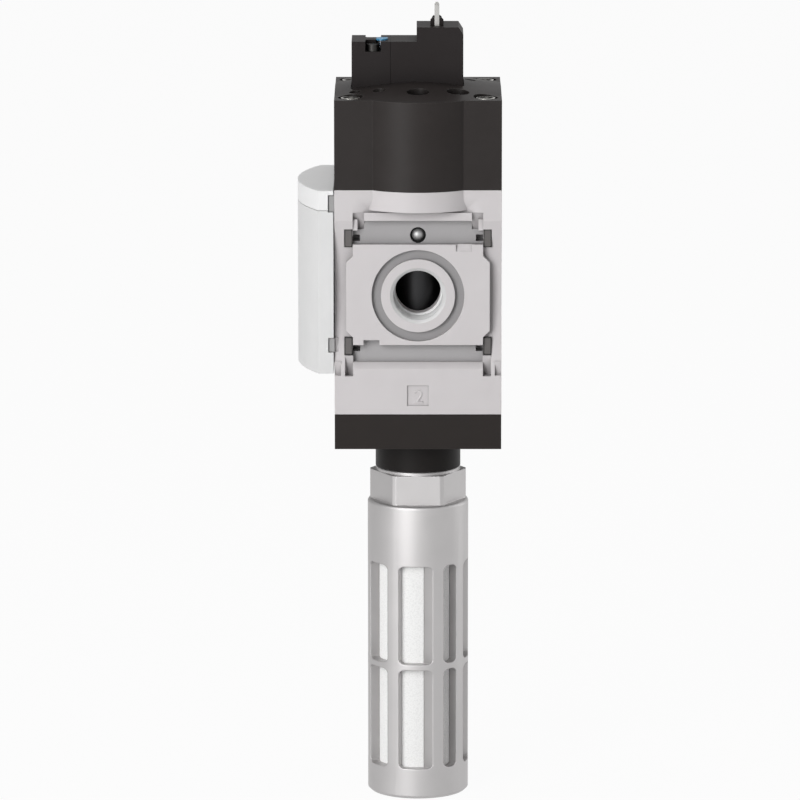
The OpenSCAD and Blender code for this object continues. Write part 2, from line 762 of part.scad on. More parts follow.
module gauge_plug() color("#7a7a7a") at_axis() translate([-half_w, 0, 0]) rotate([0, 90, 0]) difference() {
    union() {
        translate([0, 0, -gauge_flange_t]) cylinder(r = gauge_r + 2.4, h = gauge_flange_t);
        cylinder(r = gauge_r - fit_gap, h = gauge_len - 1.5);
    }
    translate([0, 0, -gauge_flange_t - eps]) cylinder(d = 6 / cos(30), h = 6, $fn = 6);
}

module module_clips() color("#5f5c5b") at_axis() both_faces() {
    from_face_at(clip_sink, clip_sink + clip_t) offset_in(clip_gap) clip_places();
    from_face_at(clip_sink + clip_t - eps, clip_sink + clip_t + clip_leg) offset_in(clip_gap) clip_legs();
}

// Shrinks upright boxes by a clearance
module offset_in(gap) {
    intersection() {
        translate([gap, 0]) children();
        translate([-gap, 0]) children();
        translate([0, gap]) children();
        translate([0, -gap]) children();
    }
}

module sealing_balls() color("#b8b8b8") at_axis() both_faces()
    translate([0, -half_d + channel_t + 2, ball_z]) sphere(r = ball_r);

module cap_plugs() color("#3b3b3b") at_axis() for (p = plug_spots)
    translate([p[0], p[1], cap_top]) difference() {
    translate([0, 0, -plug_t]) cylinder(r = plug_r - fit_gap, h = plug_t + 0.3);
    translate([0, 0, -1.2]) cylinder(d = 2 / cos(30), h = 2, $fn = 6);
}

module inlet_seat() color("#b9a46a") at_axis() difference() {
    rotate_extrude() polygon([[seat_r, inlet_lip_z], [seat_lip_r, inlet_lip_z],
        [seat_lip_r + 0.6, inlet_lip_z + seat_lip], [seat_flange_r - 0.02, inlet_lip_z + seat_lip],
        [seat_flange_r - 0.02, inlet_seat_top], [seat_r + 1.2, inlet_seat_top],
        [seat_r, inlet_seat_top - 1.2]]);
    seal_groove(seat_flange_r, inlet_seat_top - 1.9);
}

module exhaust_seat() color("#b9a46a") at_axis() {
    flange_bottom = web_bottom - exhaust_flange_t;
    difference() {
        rotate_extrude() polygon([[seat_r + 1, flange_bottom], [exhaust_r - 0.04, flange_bottom],
            [exhaust_r - 0.04, web_bottom], [web_r - 0.03, web_bottom],
            [web_r - 0.03, web_top - 0.6], [seat_lip_r, web_top - 0.6],
            [seat_lip_r, exhaust_lip_z], [seat_r, exhaust_lip_z], [seat_r, flange_bottom + 1]]);
        seal_groove(web_r, web_bottom + 2.2);
    }
}

module seat_seals() color("#1c1c1c") at_axis() {
    groove_ring(seat_flange_r, inlet_seat_top - 1.9);
    groove_ring(web_r, web_bottom + 2.2);
}

module seat_clip() color("#6f6f6f") at_axis() {
    clip_z = web_bottom - exhaust_flange_t - 1.2;
    difference() {
        ring(exhaust_r - 2, exhaust_r + 0.95, clip_z, clip_z + 1.2);
        translate([-5, exhaust_r - 4, clip_z - eps]) cube([10, 6, 2]);
    }
}

module guide_plate() color("#d8d4c8") at_axis() difference() {
    union() {
        translate([0, 0, body_up - guide_t]) cylinder(r = guide_r - 0.05, h = guide_t);
        translate([0, 0, guide_hub_down]) cylinder(r = guide_hub_r, h = guide_hub_up - guide_hub_down);
    }
    translate([0, 0, guide_hub_down - eps]) cylinder(r = collar_r + slide_gap, h = guide_hub_up);
    seal_groove(guide_r, guide_seal_z);
    ring(collar_r, collar_r + stem_seal_gap + 2 * stem_seal_r, stem_seal_z - stem_seal_h / 2,
        stem_seal_z + stem_seal_h / 2);
    for (a = [30:60:330]) rotate([0, 0, a]) translate([spanner_circle_r, 0, body_up - guide_t - eps])
        cylinder(r = spanner_hole_r, h = guide_t / 2);
}

module guide_seal() color("#1c1c1c") at_axis() groove_ring(guide_r, guide_seal_z);

module stem_seal() color("#1c1c1c") at_axis()
    o_ring(collar_r + stem_seal_gap + stem_seal_r, stem_seal_z, stem_seal_r);

module valve_stem() color("#c6c8ca") at_axis() {
    tail_z = poppet_bottom - stem_nut_h - 6;
    rotate_extrude() polygon([[0, tail_z], [stem_r - 1, tail_z], [stem_r, tail_z + 1],
        [stem_r, piston_bottom - collar_len], [collar_r - 1, piston_bottom - collar_len],
        [collar_r, piston_bottom - collar_len + 1], [collar_r, piston_bottom],
        [stem_r, piston_bottom], [stem_r, piston_top - 0.8], [stem_r - 0.8, piston_top], [0, piston_top]]);
}

module poppet() color("#2b2b2b") at_axis() difference() {
    rotate_extrude() polygon([[stem_r, poppet_bottom], [poppet_r, poppet_bottom],
        [poppet_r, poppet_top], [stem_r, poppet_top]]);
    ring(seal_ring_in, poppet_r + 1, poppet_top - seal_ring_t, poppet_top + eps);
    ring(seal_ring_in, poppet_r + 1, poppet_bottom - eps, poppet_bottom + seal_ring_t);
}

module poppet_seals() color("#151515") at_axis() {
    ring(seal_ring_in, poppet_r, poppet_top - seal_ring_t, poppet_top);
    ring(seal_ring_in, poppet_r, poppet_bottom, poppet_bottom + seal_ring_t);
}

module stem_nut() color("#9c9c9c") at_axis() translate([0, 0, poppet_bottom - stem_nut_h]) difference() {
    cylinder(d = stem_nut_af / cos(30), h = stem_nut_h, $fn = 6);
    translate([0, 0, -eps]) cylinder(r = stem_r, h = stem_nut_h + 2 * eps);
}

module pilot_piston() color("#d9d9d4") at_axis() difference() {
    translate([0, 0, piston_bottom]) cylinder(r = piston_r, h = piston_t);
    translate([0, 0, piston_bottom - eps]) cylinder(r = stem_r, h = piston_t + 1);
    translate([0, 0, piston_top - piston_nut_h - nut_sink]) cylinder(r = nut_pocket_r, h = piston_nut_h + 1);
    difference() {
        ring(11.5, piston_r - 3.6, piston_bottom - eps, piston_bottom + piston_t - 3);
        for (a = [0:45:315]) rotate([0, 0, a]) translate([0, -0.9, piston_bottom - 1])
            cube([piston_r, 1.8, piston_t]);
    }
    ring(piston_r - 2.2, piston_r + 1, piston_top - 4, piston_top - 1.4);
}

module piston_seal() color("#151515") at_axis() {
    lip_r = cylinder_r - slide_gap;
    rotate_extrude() polygon([[piston_r - 2.18, piston_top - 3.98], [lip_r - 0.5, piston_top - 3.98],
        [lip_r, piston_top - 2], [lip_r, piston_top - 1.42], [lip_r - 0.8, piston_top - 1.42],
        [lip_r - 1.2, piston_top - 2.6], [piston_r - 2.18, piston_top - 2.6]]);
}

module piston_nut() color("#9c9c9c") at_axis()
    translate([0, 0, piston_top - piston_nut_h - nut_sink]) difference() {
    cylinder(d = piston_nut_af / cos(30), h = piston_nut_h, $fn = 6);
    translate([0, 0, -eps]) cylinder(r = stem_r, h = piston_nut_h + 2 * eps);
}

module return_spring() color("#a8a8a8") at_axis()
    coil_spring(spring_mean_r, spring_wire_r, spider_top, poppet_bottom - stem_nut_h, spring_turns, 16, 6);

// Screw recess with rounded inner corners, open to the front of the pilot valve
module screw_recess() {
    r = pilot_recess_corner;
    w = pilot_recess_r;
    translate([pilot_screw_x, -pilot_d / 2, pilot_top - pilot_recess_depth])
        linear_extrude(pilot_recess_depth + 1) union() {
            translate([-w, -1]) square([2 * w, 2 * pilot_recess_r + 1 - r]);
            translate([-w + r, -1]) square([2 * (w - r), 2 * pilot_recess_r + 1]);
            for (s = [-1, 1]) translate([s * (w - r), 2 * pilot_recess_r - r]) circle(r = r);
        }
}

module pilot_body() color("#383534") at_axis() difference() {
    translate([pilot_x0, -pilot_d / 2, pilot_foot])
        cube([pilot_seam_x - pilot_x0, pilot_d, pilot_top - pilot_foot]);
    both_faces() screw_recess();
    for (sy = [-1, 1]) translate([pilot_screw_x, sy * pilot_screw_y, pilot_foot - eps])
        cylinder(r = pilot_hole_r, h = pilot_h);
    difference() {
        along_coil(nozzle_x) cylinder(r = 4, h = pilot_seam_x - nozzle_x + eps);
        along_coil(nozzle_x) cylinder(r = 1.2, h = armature_x0 - armature_seal_out - fit_gap - nozzle_x);
    }
    along_coil(feed_x) cylinder(r = 0.6, h = 8);
    translate([feed_x, 0, pilot_foot - eps]) cylinder(r = 1, h = coil_z - pilot_foot + 0.6);
    translate([override_x, override_y, 0]) {
        translate([0, 0, override_cap_z - override_travel - 0.15]) cylinder(r = override_r + 0.1, h = 3);
        translate([0, 0, override_seat]) cylinder(r = 1.95, h = 3);
        translate([0, 0, coil_z]) cylinder(r = override_pin_r + slide_gap, h = 8);
    }
}

module pilot_coil_housing() color("#353231") at_axis() difference() {
    translate([0, pilot_d / 2, 0]) rotate([90, 0, 0]) linear_extrude(pilot_d)
        polygon([[pilot_seam_x, pilot_foot], [pilot_seam_x, pilot_top], [pilot_step_x, pilot_top],
            [pilot_step_x, connector_top], [pilot_bevel_x, connector_top],
            [pilot_x1, connector_top - pilot_bevel_h], [pilot_x1, pilot_foot]]);
    translate([pilot_seam_x - 1, 1.5 - pilot_d / 2, coil_z - coil_flange_r])
        cube([coil_len + core_end_t + 1, pilot_d - 3, 2 * coil_flange_r]);
    for (sy = [-1, 1]) translate([blade_x - blade_w / 2 - 0.15, sy * blade_y - blade_t / 2, coil_z + 7])
        cube([blade_w + 0.3, blade_t, 20]);
}

module pilot_gasket() color("#202020") at_axis() difference() {
    translate([pilot_x0 + gasket_in, gasket_in - pilot_d / 2, cap_top])
        cube([pilot_x1 - pilot_x0 - 2 * gasket_in, pilot_d - 2 * gasket_in, gasket_t]);
    for (sy = [-1, 1]) translate([pilot_screw_x, sy * pilot_screw_y, cap_top - 1])
        cylinder(r = pilot_hole_r, h = 3);
    translate([feed_x, 0, cap_top - 1]) cylinder(r = 1.2, h = 3);
}

module pilot_screws() color("#3a3a3a") at_axis() for (sy = [-1, 1]) {
    shank = pilot_h - pilot_recess_depth + pilot_grip;
    translate([pilot_screw_x, sy * pilot_screw_y, pilot_top - pilot_recess_depth]) difference() {
        union() {
            cylinder(r = pilot_head_r, h = pilot_head_h);
            translate([0, 0, -shank]) cylinder(r = pilot_shank_r, h = shank + eps);
        }
        translate([-pilot_head_r - 1, -pilot_slot_w / 2, pilot_head_h - pilot_slot_t])
            cube([2 * pilot_head_r + 2, pilot_slot_w, pilot_slot_t + 1]);
    }
}

// Parts of the coil lie along X at the height of the armature
module along_coil(x) {
    translate([x, 0, coil_z]) rotate([0, 90, 0]) children();
}

module coil_bobbin() color("#e4e0d4") at_axis() difference() {
    along_coil(pilot_seam_x) {
        cylinder(r = coil_barrel_r, h = coil_len);
        cylinder(r = coil_flange_r, h = coil_flange_t);
        translate([0, 0, coil_len - coil_flange_t]) cylinder(r = coil_flange_r, h = coil_flange_t);
    }
    along_coil(pilot_seam_x - 1) cylinder(r = armature_r + slide_gap, h = coil_len + 2);
}

module coil_winding() color("#a8642c") at_axis() difference() {
    along_coil(pilot_seam_x + coil_flange_t)
        cylinder(r = coil_flange_r - 0.3, h = coil_len - 2 * coil_flange_t);
    along_coil(pilot_seam_x) cylinder(r = coil_barrel_r + fit_gap, h = coil_len);
}

module fixed_core() color("#a9abad") at_axis() along_coil(core_x0) {
    cylinder(r = armature_r, h = pilot_seam_x + coil_len - core_x0 + 1);
    translate([0, 0, pilot_seam_x + coil_len - core_x0]) cylinder(r = 6, h = core_end_t);
}

module armature() color("#b5b7b9") at_axis() difference() {
    along_coil(armature_x0) cylinder(r = armature_r, h = armature_len);
    along_coil(armature_x0 + armature_len - armature_pocket_t)
        cylinder(r = armature_pocket_r, h = armature_pocket_t + 1);
    along_coil(armature_x0 - eps) cylinder(r = armature_pocket_r, h = armature_seal_sink + eps);
}

module armature_seal() color("#151515") at_axis() along_coil(armature_x0 - armature_seal_out)
    cylinder(r = armature_pocket_r - fit_gap, h = armature_seal_out + armature_seal_sink);

module armature_spring() color("#b0b0b0") at_axis() along_coil(armature_x0 + armature_len - armature_pocket_t)
    coil_spring(1.5, 0.22, 0, armature_pocket_t + armature_travel, 6, 10, 5);

module contact_blades() color("#a9a9a9") at_axis() for (sy = [-1, 1])
    translate([blade_x, sy * blade_y, 0]) rotate([90, 0, 0]) linear_extrude(blade_t, center = true) {
        w = blade_w / 2;
        foot = coil_z + coil_flange_r;
        tip = connector_top + blade_h;
        polygon([[-w, foot], [w, foot], [w, tip - 0.7], [w - 0.4, tip], [0.4 - w, tip], [-w, tip - 0.7]]);
    }

// Collars open to the outside, so that each blade shows between two dark cheeks
module contact_collars() color("#1d1b1a") at_axis() for (sy = [-1, 1]) {
    w = (sy < 0 ? collar_front_w : collar_rear_w) / 2;
    translate([blade_x, sy * blade_y, connector_top]) rotate([0, 0, sy < 0 ? 0 : 180]) difference() {
        translate([0, collar_back, 0]) rotate([90, 0, 0]) linear_extrude(collar_back + blade_t / 2)
            polygon([[-w, 0], [w, 0], [w, 2.2], [w - 0.7, 2.9], [0.7 - w, 2.9], [-w, 2.2]]);
        translate([-blade_w / 2 - fit_gap, -blade_t, -1]) cube([blade_w + 2 * fit_gap, 1.5 * blade_t, 6]);
    }
}

module manual_override() color("#5fb0dc") at_axis() translate([override_x, override_y, 0]) difference() {
    union() {
        translate([0, 0, override_cap_z]) cylinder(r = override_r, h = override_cap_h);
        translate([0, 0, coil_z + 4.3]) cylinder(r = override_pin_r, h = override_cap_z + 0.2 - coil_z - 4.3);
    }
    translate([-1.5, -0.3, pilot_top + override_up - 0.4]) cube([3, 0.6, 1]);
}

module override_spring() color("#b0b0b0") at_axis() translate([override_x, override_y, 0])
    coil_spring(1.5, 0.2, override_seat, override_cap_z, 5, 10, 5);

module throttle_screw() color("#c4c2bb") at_axis() translate([throttle_x, throttle_y, 0]) difference() {
    union() {
        translate([0, 0, throttle_top - throttle_head_h])
            cylinder(r = throttle_r - slide_gap, h = throttle_head_h);
        translate([0, 0, throttle_top - throttle_len])
            cylinder(r = throttle_shank_r, h = throttle_len - throttle_head_h + eps);
    }
    translate([-3, -0.35, throttle_top - 0.9]) cube([6, 0.7, 2]);
}

module throttle_needle() color("#c4a866") at_axis() translate([throttle_x, throttle_y, 0]) {
    difference() {
        translate([0, 0, needle_top - needle_h]) cylinder(r = throttle_r - slide_gap, h = needle_h);
        translate([0, 0, needle_top - 2.7]) cylinder(r = throttle_shank_r + slide_gap, h = 4);
    }
    translate([0, 0, needle_top - needle_h - needle_tip_h])
        cylinder(r1 = 0.4, r2 = 1.4, h = needle_tip_h + eps);
}

// Plan of one slot of the silencer, as a wedge whose walls may lean
module slot_plan(slot) {
    reach = 3;
    inward = silencer_wall + 2.6;
    function edge(a, lean, d) =
        [silencer_r * sin(a) + d * sin(a + lean), -silencer_r * cos(a) - d * cos(a + lean)];
    polygon([edge(slot[0], slot[2], reach), edge(slot[1], slot[3], reach),
        edge(slot[1], slot[3], -inward), edge(slot[0], slot[2], -inward)]);
}

module rounded_slot(w, h, r) {
    square([w - 2 * r, h], center = true);
    square([w, h - 2 * r], center = true);
    for (sx = [-1, 1], sz = [-1, 1]) translate([sx * (w / 2 - r), sz * (h / 2 - r)]) circle(r = r);
}

module slot_cut(slot, z) {
    mid = (slot[0] + slot[1]) / 2;
    w = 2 * silencer_r * sin((slot[1] - slot[0]) / 2) + 0.3;
    intersection() {
        translate([0, 0, z - 1]) linear_extrude(slot_len + 2) slot_plan(slot);
        rotate([0, 0, mid]) translate([0, -silencer_r / 2, z + slot_len / 2]) rotate([90, 0, 0])
            linear_extrude(silencer_r) rounded_slot(w, slot_len, slot_corner_r);
    }
}

// Hexagon with turned-down corners
module silencer_hex() {
    translate([0, 0, shoulder_z - 1]) intersection() {
        cylinder(d = hex_af / cos(30), h = hex_h + 1, $fn = 6);
        cylinder(r = hex_corner_r, h = hex_h + 1);
    }
}

// Half section of the tube and the neck, turned round the axis
module silencer_profile() {
    seal_floor = adapter_bottom - silencer_seal_t;
    polygon([[0, silencer_bottom], [silencer_r - tube_edge, silencer_bottom],
        [silencer_r, silencer_bottom + tube_edge], [silencer_r, shoulder_z - shoulder_r],
        [silencer_r - shoulder_r, shoulder_z - shoulder_r], [silencer_r - shoulder_r, shoulder_z],
        [neck_r, shoulder_z], [neck_r, neck_top - neck_edge], [neck_r - neck_edge, neck_top],
        [silencer_seal_r + 0.1, neck_top], [silencer_seal_r + 0.1, seal_floor], [0, seal_floor]]);
    translate([silencer_r - shoulder_r, shoulder_z - shoulder_r]) circle(r = shoulder_r);
}

module silencer_housing() color("#b9b9ba") at_axis() difference() {
    union() {
        translate([0, 0, hex_top]) cylinder(r = nipple_r, h = nipple_top - hex_top);
        silencer_hex();
        rotate_extrude() silencer_profile();
    }
    translate([0, 0, silencer_bottom - eps])
        cylinder(r = silencer_r - silencer_wall, h = sleeve_top - silencer_bottom + eps);
    translate([0, 0, sleeve_top - eps])
        cylinder(r = exhaust_thread_r - nipple_wall, h = nipple_top - sleeve_top + 1);
    for (half = [0, 180], slot = slot_angles, row = [1, 2]) rotate([0, 0, half])
        slot_cut(slot, shoulder_z - slot_first - row * slot_len - (row - 1) * slot_gap);
}

module silencer_sleeve() color("#f2f2f2") at_axis()
    ring(sleeve_r - sleeve_wall, sleeve_r, sleeve_bottom, sleeve_top);

module silencer_end_cap() color("#b0b0b1") at_axis() difference() {
    translate([0, 0, silencer_bottom + end_cap_in])
        cylinder(r = silencer_r - silencer_wall - fit_gap, h = end_cap_t);
    translate([0, 0, silencer_bottom + end_cap_in - eps]) cylinder(r = end_recess_r, h = end_recess_t + eps);
}

module silencer_seal() color("#1c1c1c") at_axis()
    ring(exhaust_thread_r + 0.1, silencer_seal_r, adapter_bottom - silencer_seal_t, adapter_bottom);

body_casting();
cap_housing();
base_plate();
exhaust_adapter();
cap_seal();
base_seal();
adapter_seal();
cap_screws();
base_screws();
hood_front();
hood_cap();
gauge_plug();
module_clips();
sealing_balls();
cap_plugs();
inlet_seat();
exhaust_seat();
seat_seals();
seat_clip();
guide_plate();
guide_seal();
stem_seal();
valve_stem();
poppet();
poppet_seals();
stem_nut();
pilot_piston();
piston_seal();
piston_nut();
return_spring();
pilot_body();
pilot_coil_housing();
pilot_gasket();
pilot_screws();
coil_bobbin();
coil_winding();
fixed_core();
armature();
armature_seal();
armature_spring();
contact_blades();
contact_collars();
manual_override();
override_spring();
throttle_screw();
throttle_needle();
silencer_housing();
silencer_sleeve();
silencer_end_cap();
silencer_seal();
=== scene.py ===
# %% [markdown]
# # Pneumatic dump valve: looks and light
# The valve's parts arrive as a imported model, each a closed mesh in its final
# place. This lesson gives every one the finish of the real piece. The parts that
# show more detail than the model carries (the body's casting, the cover, the
# silencer) and the springs, which give way in the real valve but keep their full
# length here, are then replaced by copies.
# Pipe threads and port numbers are added, and a small photo studio is set up.
# All sizes are in metres, with the origin at the centre of port 2, so real
# dimensions can be used as they are.

import math

import bmesh
import bpy
from mathutils import Matrix, Vector


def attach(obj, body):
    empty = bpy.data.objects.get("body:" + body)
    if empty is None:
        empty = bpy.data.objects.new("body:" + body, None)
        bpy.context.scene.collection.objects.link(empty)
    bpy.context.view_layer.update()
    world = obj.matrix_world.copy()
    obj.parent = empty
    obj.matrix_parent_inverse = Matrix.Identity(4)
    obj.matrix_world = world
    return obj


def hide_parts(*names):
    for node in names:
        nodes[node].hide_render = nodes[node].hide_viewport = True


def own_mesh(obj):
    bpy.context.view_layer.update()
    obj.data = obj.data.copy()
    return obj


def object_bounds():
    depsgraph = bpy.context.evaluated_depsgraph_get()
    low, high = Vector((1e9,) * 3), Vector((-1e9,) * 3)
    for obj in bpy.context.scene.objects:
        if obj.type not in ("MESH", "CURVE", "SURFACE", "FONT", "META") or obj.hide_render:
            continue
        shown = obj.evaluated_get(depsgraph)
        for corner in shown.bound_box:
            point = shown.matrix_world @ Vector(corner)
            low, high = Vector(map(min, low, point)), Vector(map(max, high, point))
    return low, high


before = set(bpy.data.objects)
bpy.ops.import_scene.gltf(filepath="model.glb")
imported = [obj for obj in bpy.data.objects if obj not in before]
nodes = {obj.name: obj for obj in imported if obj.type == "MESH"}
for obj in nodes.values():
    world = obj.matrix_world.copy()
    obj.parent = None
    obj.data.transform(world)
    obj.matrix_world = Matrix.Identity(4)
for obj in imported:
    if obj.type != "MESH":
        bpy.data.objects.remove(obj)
CAD_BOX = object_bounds()
MM = 0.001
HALF = 31.0  # mm, half the side of the square body
AXIS_Y = HALF * MM
MODULE_DEPTH = 2 * HALF * MM
cad_size = [round(v / MM, 1) for v in CAD_BOX[1] - CAD_BOX[0]]
print("loaded", len(nodes), "nodes; box", cad_size, "mm")

# %% [markdown]
# ## Helpers for materials
# Paint charts and photographs give colours as sRGB hex values, but a renderer
# counts light, so every colour passes through one function that turns it to
# linear. A second function adds a node, sets it and wires it in one line. With
# those two, a material reads like a recipe. The last two start a material and
# darken its colour by a pattern, which several finishes below need.

# %% Colour and node helpers


def linear(hex_colour):
    """Turns an sRGB colour such as "#d6d2d3" into the linear RGBA that a socket takes."""
    parts = [int(hex_colour[i:i + 2], 16) / 255 for i in (1, 3, 5)]
    lit = [c / 12.92 if c <= 0.04045 else ((c + 0.055) / 1.055) ** 2.4 for c in parts]
    return (*lit, 1.0)


def add_node(tree, kind, settings=(), links=()):
    """Adds one node; links maps its sockets to plain values or to other nodes' outputs."""
    node = tree.nodes.new(kind)
    for name, value in dict(settings).items():
        setattr(node, name, value)
    for name, value in dict(links).items():
        if isinstance(value, bpy.types.NodeSocket):
            tree.links.new(value, node.inputs[name])
        else:
            node.inputs[name].default_value = value
    return node


def new_material(name, **sockets):
    """Starts a material: its tree, its shader with plain sockets set, and Object coordinates."""
    material = bpy.data.materials.new(name)
    material.use_nodes = True
    tree = material.node_tree
    tree.nodes.clear()
    plain = {key.replace("_", " "): value for key, value in sockets.items()}
    shader = add_node(tree, "ShaderNodeBsdfPrincipled", links=plain)
    add_node(tree, "ShaderNodeOutputMaterial", links={"Surface": shader.outputs["BSDF"]})
    place = add_node(tree, "ShaderNodeTexCoord").outputs["Object"]
    return material, tree, shader, place


def darken(tree, amount):
    """Multiplies a material's colour by a pattern: 1 leaves it as it is, 0 is black."""
    colour = tree.nodes["Principled BSDF"].inputs["Base Color"]
    skin = colour.links[0].from_socket
    shaded = add_node(tree, "ShaderNodeMix", {"data_type": "RGBA", "blend_type": "MULTIPLY"},
                      {"Factor": 1.0, "A": skin, "B": amount})
    tree.links.new(shaded.outputs["Result"], colour)


print("helpers ready; body grey is", [round(c, 3) for c in linear("#d6d2d3")])

# %% [markdown]
# ## A moulded or cast skin
# Plastic housings and painted castings share one structure: a fine grain from
# the mould or the paint, a slow drift of tone and gloss from how the material
# flowed, and edges that are never quite sharp. The grain is a noise whose scale
# is one over its real size. The edges are rounded by a Bevel node, which bends
# the light over the last few tenths of a millimetre as a mould radius does, and
# where it bends most the colour is made a little lighter: partly the wear of
# handled edges, partly a painted highlight. Narrow channels and recesses see
# little of the room, so an occlusion node darkens the colour where other walls
# stand close in front of it: painted shade.

# %% Moulded skin
RECESS_REACH = 9 * MM
FLOW_DRIFT = 14 * MM
GLOSS_DRIFT = 0.05
WEAR_AND_HIGHLIGHT_TONE, FULL_WEAR_AND_HIGHLIGHT = "#f4f4f2", 0.8  # the paler tone of wear and painted highlight on edges, and the cosine of the bend where it all shows
CLOSED_IN, OPEN = 0.45, 0.92  # the shares of open sky where the painted shade is full and where it ends


def moulded_skin(name, dark, light, rough, grain_mm, depth_mm, edge_mm=0.3, edge_wear_and_highlight=0.12,
                 recess_shade=0.5, alone=False, **sockets):
    """Mould grain, drifting tone, edges lighter by wear and painted highlight, painted shade in
    recesses.
    """
    material, tree, shader, place = new_material(name, **sockets)
    grain = add_node(tree, "ShaderNodeTexNoise", links={
        "Vector": place, "Scale": 1 / (grain_mm * MM), "Detail": 3.0, "Roughness": 0.6})
    drift = add_node(tree, "ShaderNodeTexNoise", links={
        "Vector": place, "Scale": 1 / FLOW_DRIFT, "Detail": 2.0})
    tone = add_node(tree, "ShaderNodeMix", {"data_type": "RGBA"},
                    {"Factor": drift.outputs["Fac"], "A": linear(dark), "B": linear(light)})
    soft = add_node(tree, "ShaderNodeBevel", {"samples": 6}, {"Radius": edge_mm * MM})
    flat = add_node(tree, "ShaderNodeNewGeometry")
    bend = add_node(tree, "ShaderNodeVectorMath", {"operation": "DOT_PRODUCT"},
                    {0: soft.outputs["Normal"], 1: flat.outputs["Normal"]})
    # Edges turn paler where the bevel bends: partly wear, partly painted highlight
    wear_and_highlight = add_node(tree, "ShaderNodeMapRange", links={
        "Value": bend.outputs["Value"], "From Min": 1.0, "From Max": FULL_WEAR_AND_HIGHLIGHT,
        "To Min": 0.0, "To Max": edge_wear_and_highlight})
    edge = add_node(tree, "ShaderNodeMix", {"data_type": "RGBA"}, {
        "Factor": wear_and_highlight.outputs["Result"], "A": tone.outputs["Result"], "B": linear(WEAR_AND_HIGHLIGHT_TONE)})
    # Painted shade: the colour darkens where other walls stand close in front
    open_sky = add_node(tree, "ShaderNodeAmbientOcclusion", {"samples": 6, "only_local": alone},
                        {"Distance": RECESS_REACH})
    shade = add_node(tree, "ShaderNodeMapRange", links={
        "Value": open_sky.outputs["AO"], "From Min": CLOSED_IN, "From Max": OPEN,
        "To Min": 1 - recess_shade, "To Max": 1.0})
    gloss = add_node(tree, "ShaderNodeMapRange", links={
        "Value": drift.outputs["Fac"], "To Min": rough - GLOSS_DRIFT,
        "To Max": rough + GLOSS_DRIFT})
    bump = add_node(tree, "ShaderNodeBump", links={
        "Height": grain.outputs["Fac"], "Distance": depth_mm * MM, "Strength": 1.0,
        "Normal": soft.outputs["Normal"]})
    tree.links.new(edge.outputs["Result"], shader.inputs["Base Color"])
    tree.links.new(gloss.outputs["Result"], shader.inputs["Roughness"])
    tree.links.new(bump.outputs["Normal"], shader.inputs["Normal"])
    darken(tree, shade.outputs["Result"])
    return material


def dark_line(material, axis, at_mm, width_mm):
    """Darkens a thin band across an axis, where an open gap runs round a moulding."""
    tree = material.node_tree
    place = tree.nodes["Texture Coordinate"].outputs["Object"]
    along = add_node(tree, "ShaderNodeSeparateXYZ", links={0: place}).outputs[axis]
    off = add_node(tree, "ShaderNodeMath", {"operation": "SUBTRACT"}, {0: along, 1: at_mm * MM})
    off = add_node(tree, "ShaderNodeMath", {"operation": "ABSOLUTE"}, {0: off.outputs[0]})
    line = add_node(tree, "ShaderNodeMapRange", links={
        "Value": off.outputs[0], "From Min": 0.4 * width_mm * MM,
        "From Max": 0.9 * width_mm * MM, "To Min": 0.2, "To Max": 1.0})
    darken(tree, line.outputs["Result"])


print("moulded skin ready; recesses darken within", round(RECESS_REACH / MM, 1), "mm")

# %% [markdown]
# ## Painted, moulded and rubber finishes
# The body is coated metal, the cap, the base and the pilot valve are black
# plastics, and the cover is a pale one. With the skin ready, each finish is one
# call: two close tones, the roughness, the size and depth of the grain in mm,
# and the radius of the edges. Where two mouldings meet, the gap between them is
# too thin to be a shape of its own, so a narrow dark band in the skin shows it.

# %% Moulded finishes
# Die-cast aluminium under light grey powder coat: satin, with a very fine orange peel
coated_casting = moulded_skin(
    "powder_coated_casting", "#cbc7c8", "#d2cecf", 0.46, 0.5, 0.006, edge_mm=0.35,
    recess_shade=0.36, alone=True, Specular_IOR_Level=0.35)
# The same coat at the bottom of the channels, painted darker as the shade there
channel_shade_coat = moulded_skin(
    "painted_shade_in_channels", "#b0aeaf", "#b6b4b5", 0.5, 0.5, 0.006, edge_mm=0.2,
    recess_shade=0.3, alone=True, Specular_IOR_Level=0.3)
# The seal groove in the same coat, painted a darker grey as the shade in it
shaded_groove = moulded_skin(
    "painted_shade_groove_casting", "#9b999a", "#a09e9f", 0.5, 0.5, 0.004, edge_mm=0.1,
    recess_shade=0.1, Specular_IOR_Level=0.3)
# The same coat on the lugs behind the cover's windows, painted a flat mid grey as shade
shaded_lug = moulded_skin(
    "shaded_lug_coat", "#a3a2a2", "#a9a8a8", 0.5, 0.5, 0.004, edge_mm=0.2,
    recess_shade=0.35, Specular_IOR_Level=0.3)
# Glass-filled polyamide in black: spark-eroded mould grain that scatters light softly
black_polyamide = moulded_skin(
    "black_glass_filled_polyamide", "#282423", "#302c2b", 0.42, 0.35, 0.012, edge_mm=0.3,
    edge_wear_and_highlight=0.04, Specular_IOR_Level=0.15)
# The base plate is the same material with a little less gloss
base_polyamide = moulded_skin(
    "base_black_polyamide", "#272322", "#2d2927", 0.54, 0.35, 0.012, edge_mm=0.3,
    edge_wear_and_highlight=0.04, Specular_IOR_Level=0.12)
# The cover is moulded ABS in a paler grey, with a smooth eggshell gloss
light_abs = moulded_skin(
    "light_grey_abs", "#dadada", "#e2e2e2", 0.4, 0.4, 0.004, edge_mm=0.4,
    recess_shade=0.3, Specular_IOR_Level=0.35)
# The cover's top piece is the same plastic, painted a touch paler for the light it faces
lit_top_abs = moulded_skin(
    "grey_abs_with_painted_light", "#ececec", "#f2f2f2", 0.4, 0.4, 0.004, edge_mm=0.4,
    recess_shade=0.1, alone=True, Specular_IOR_Level=0.35)
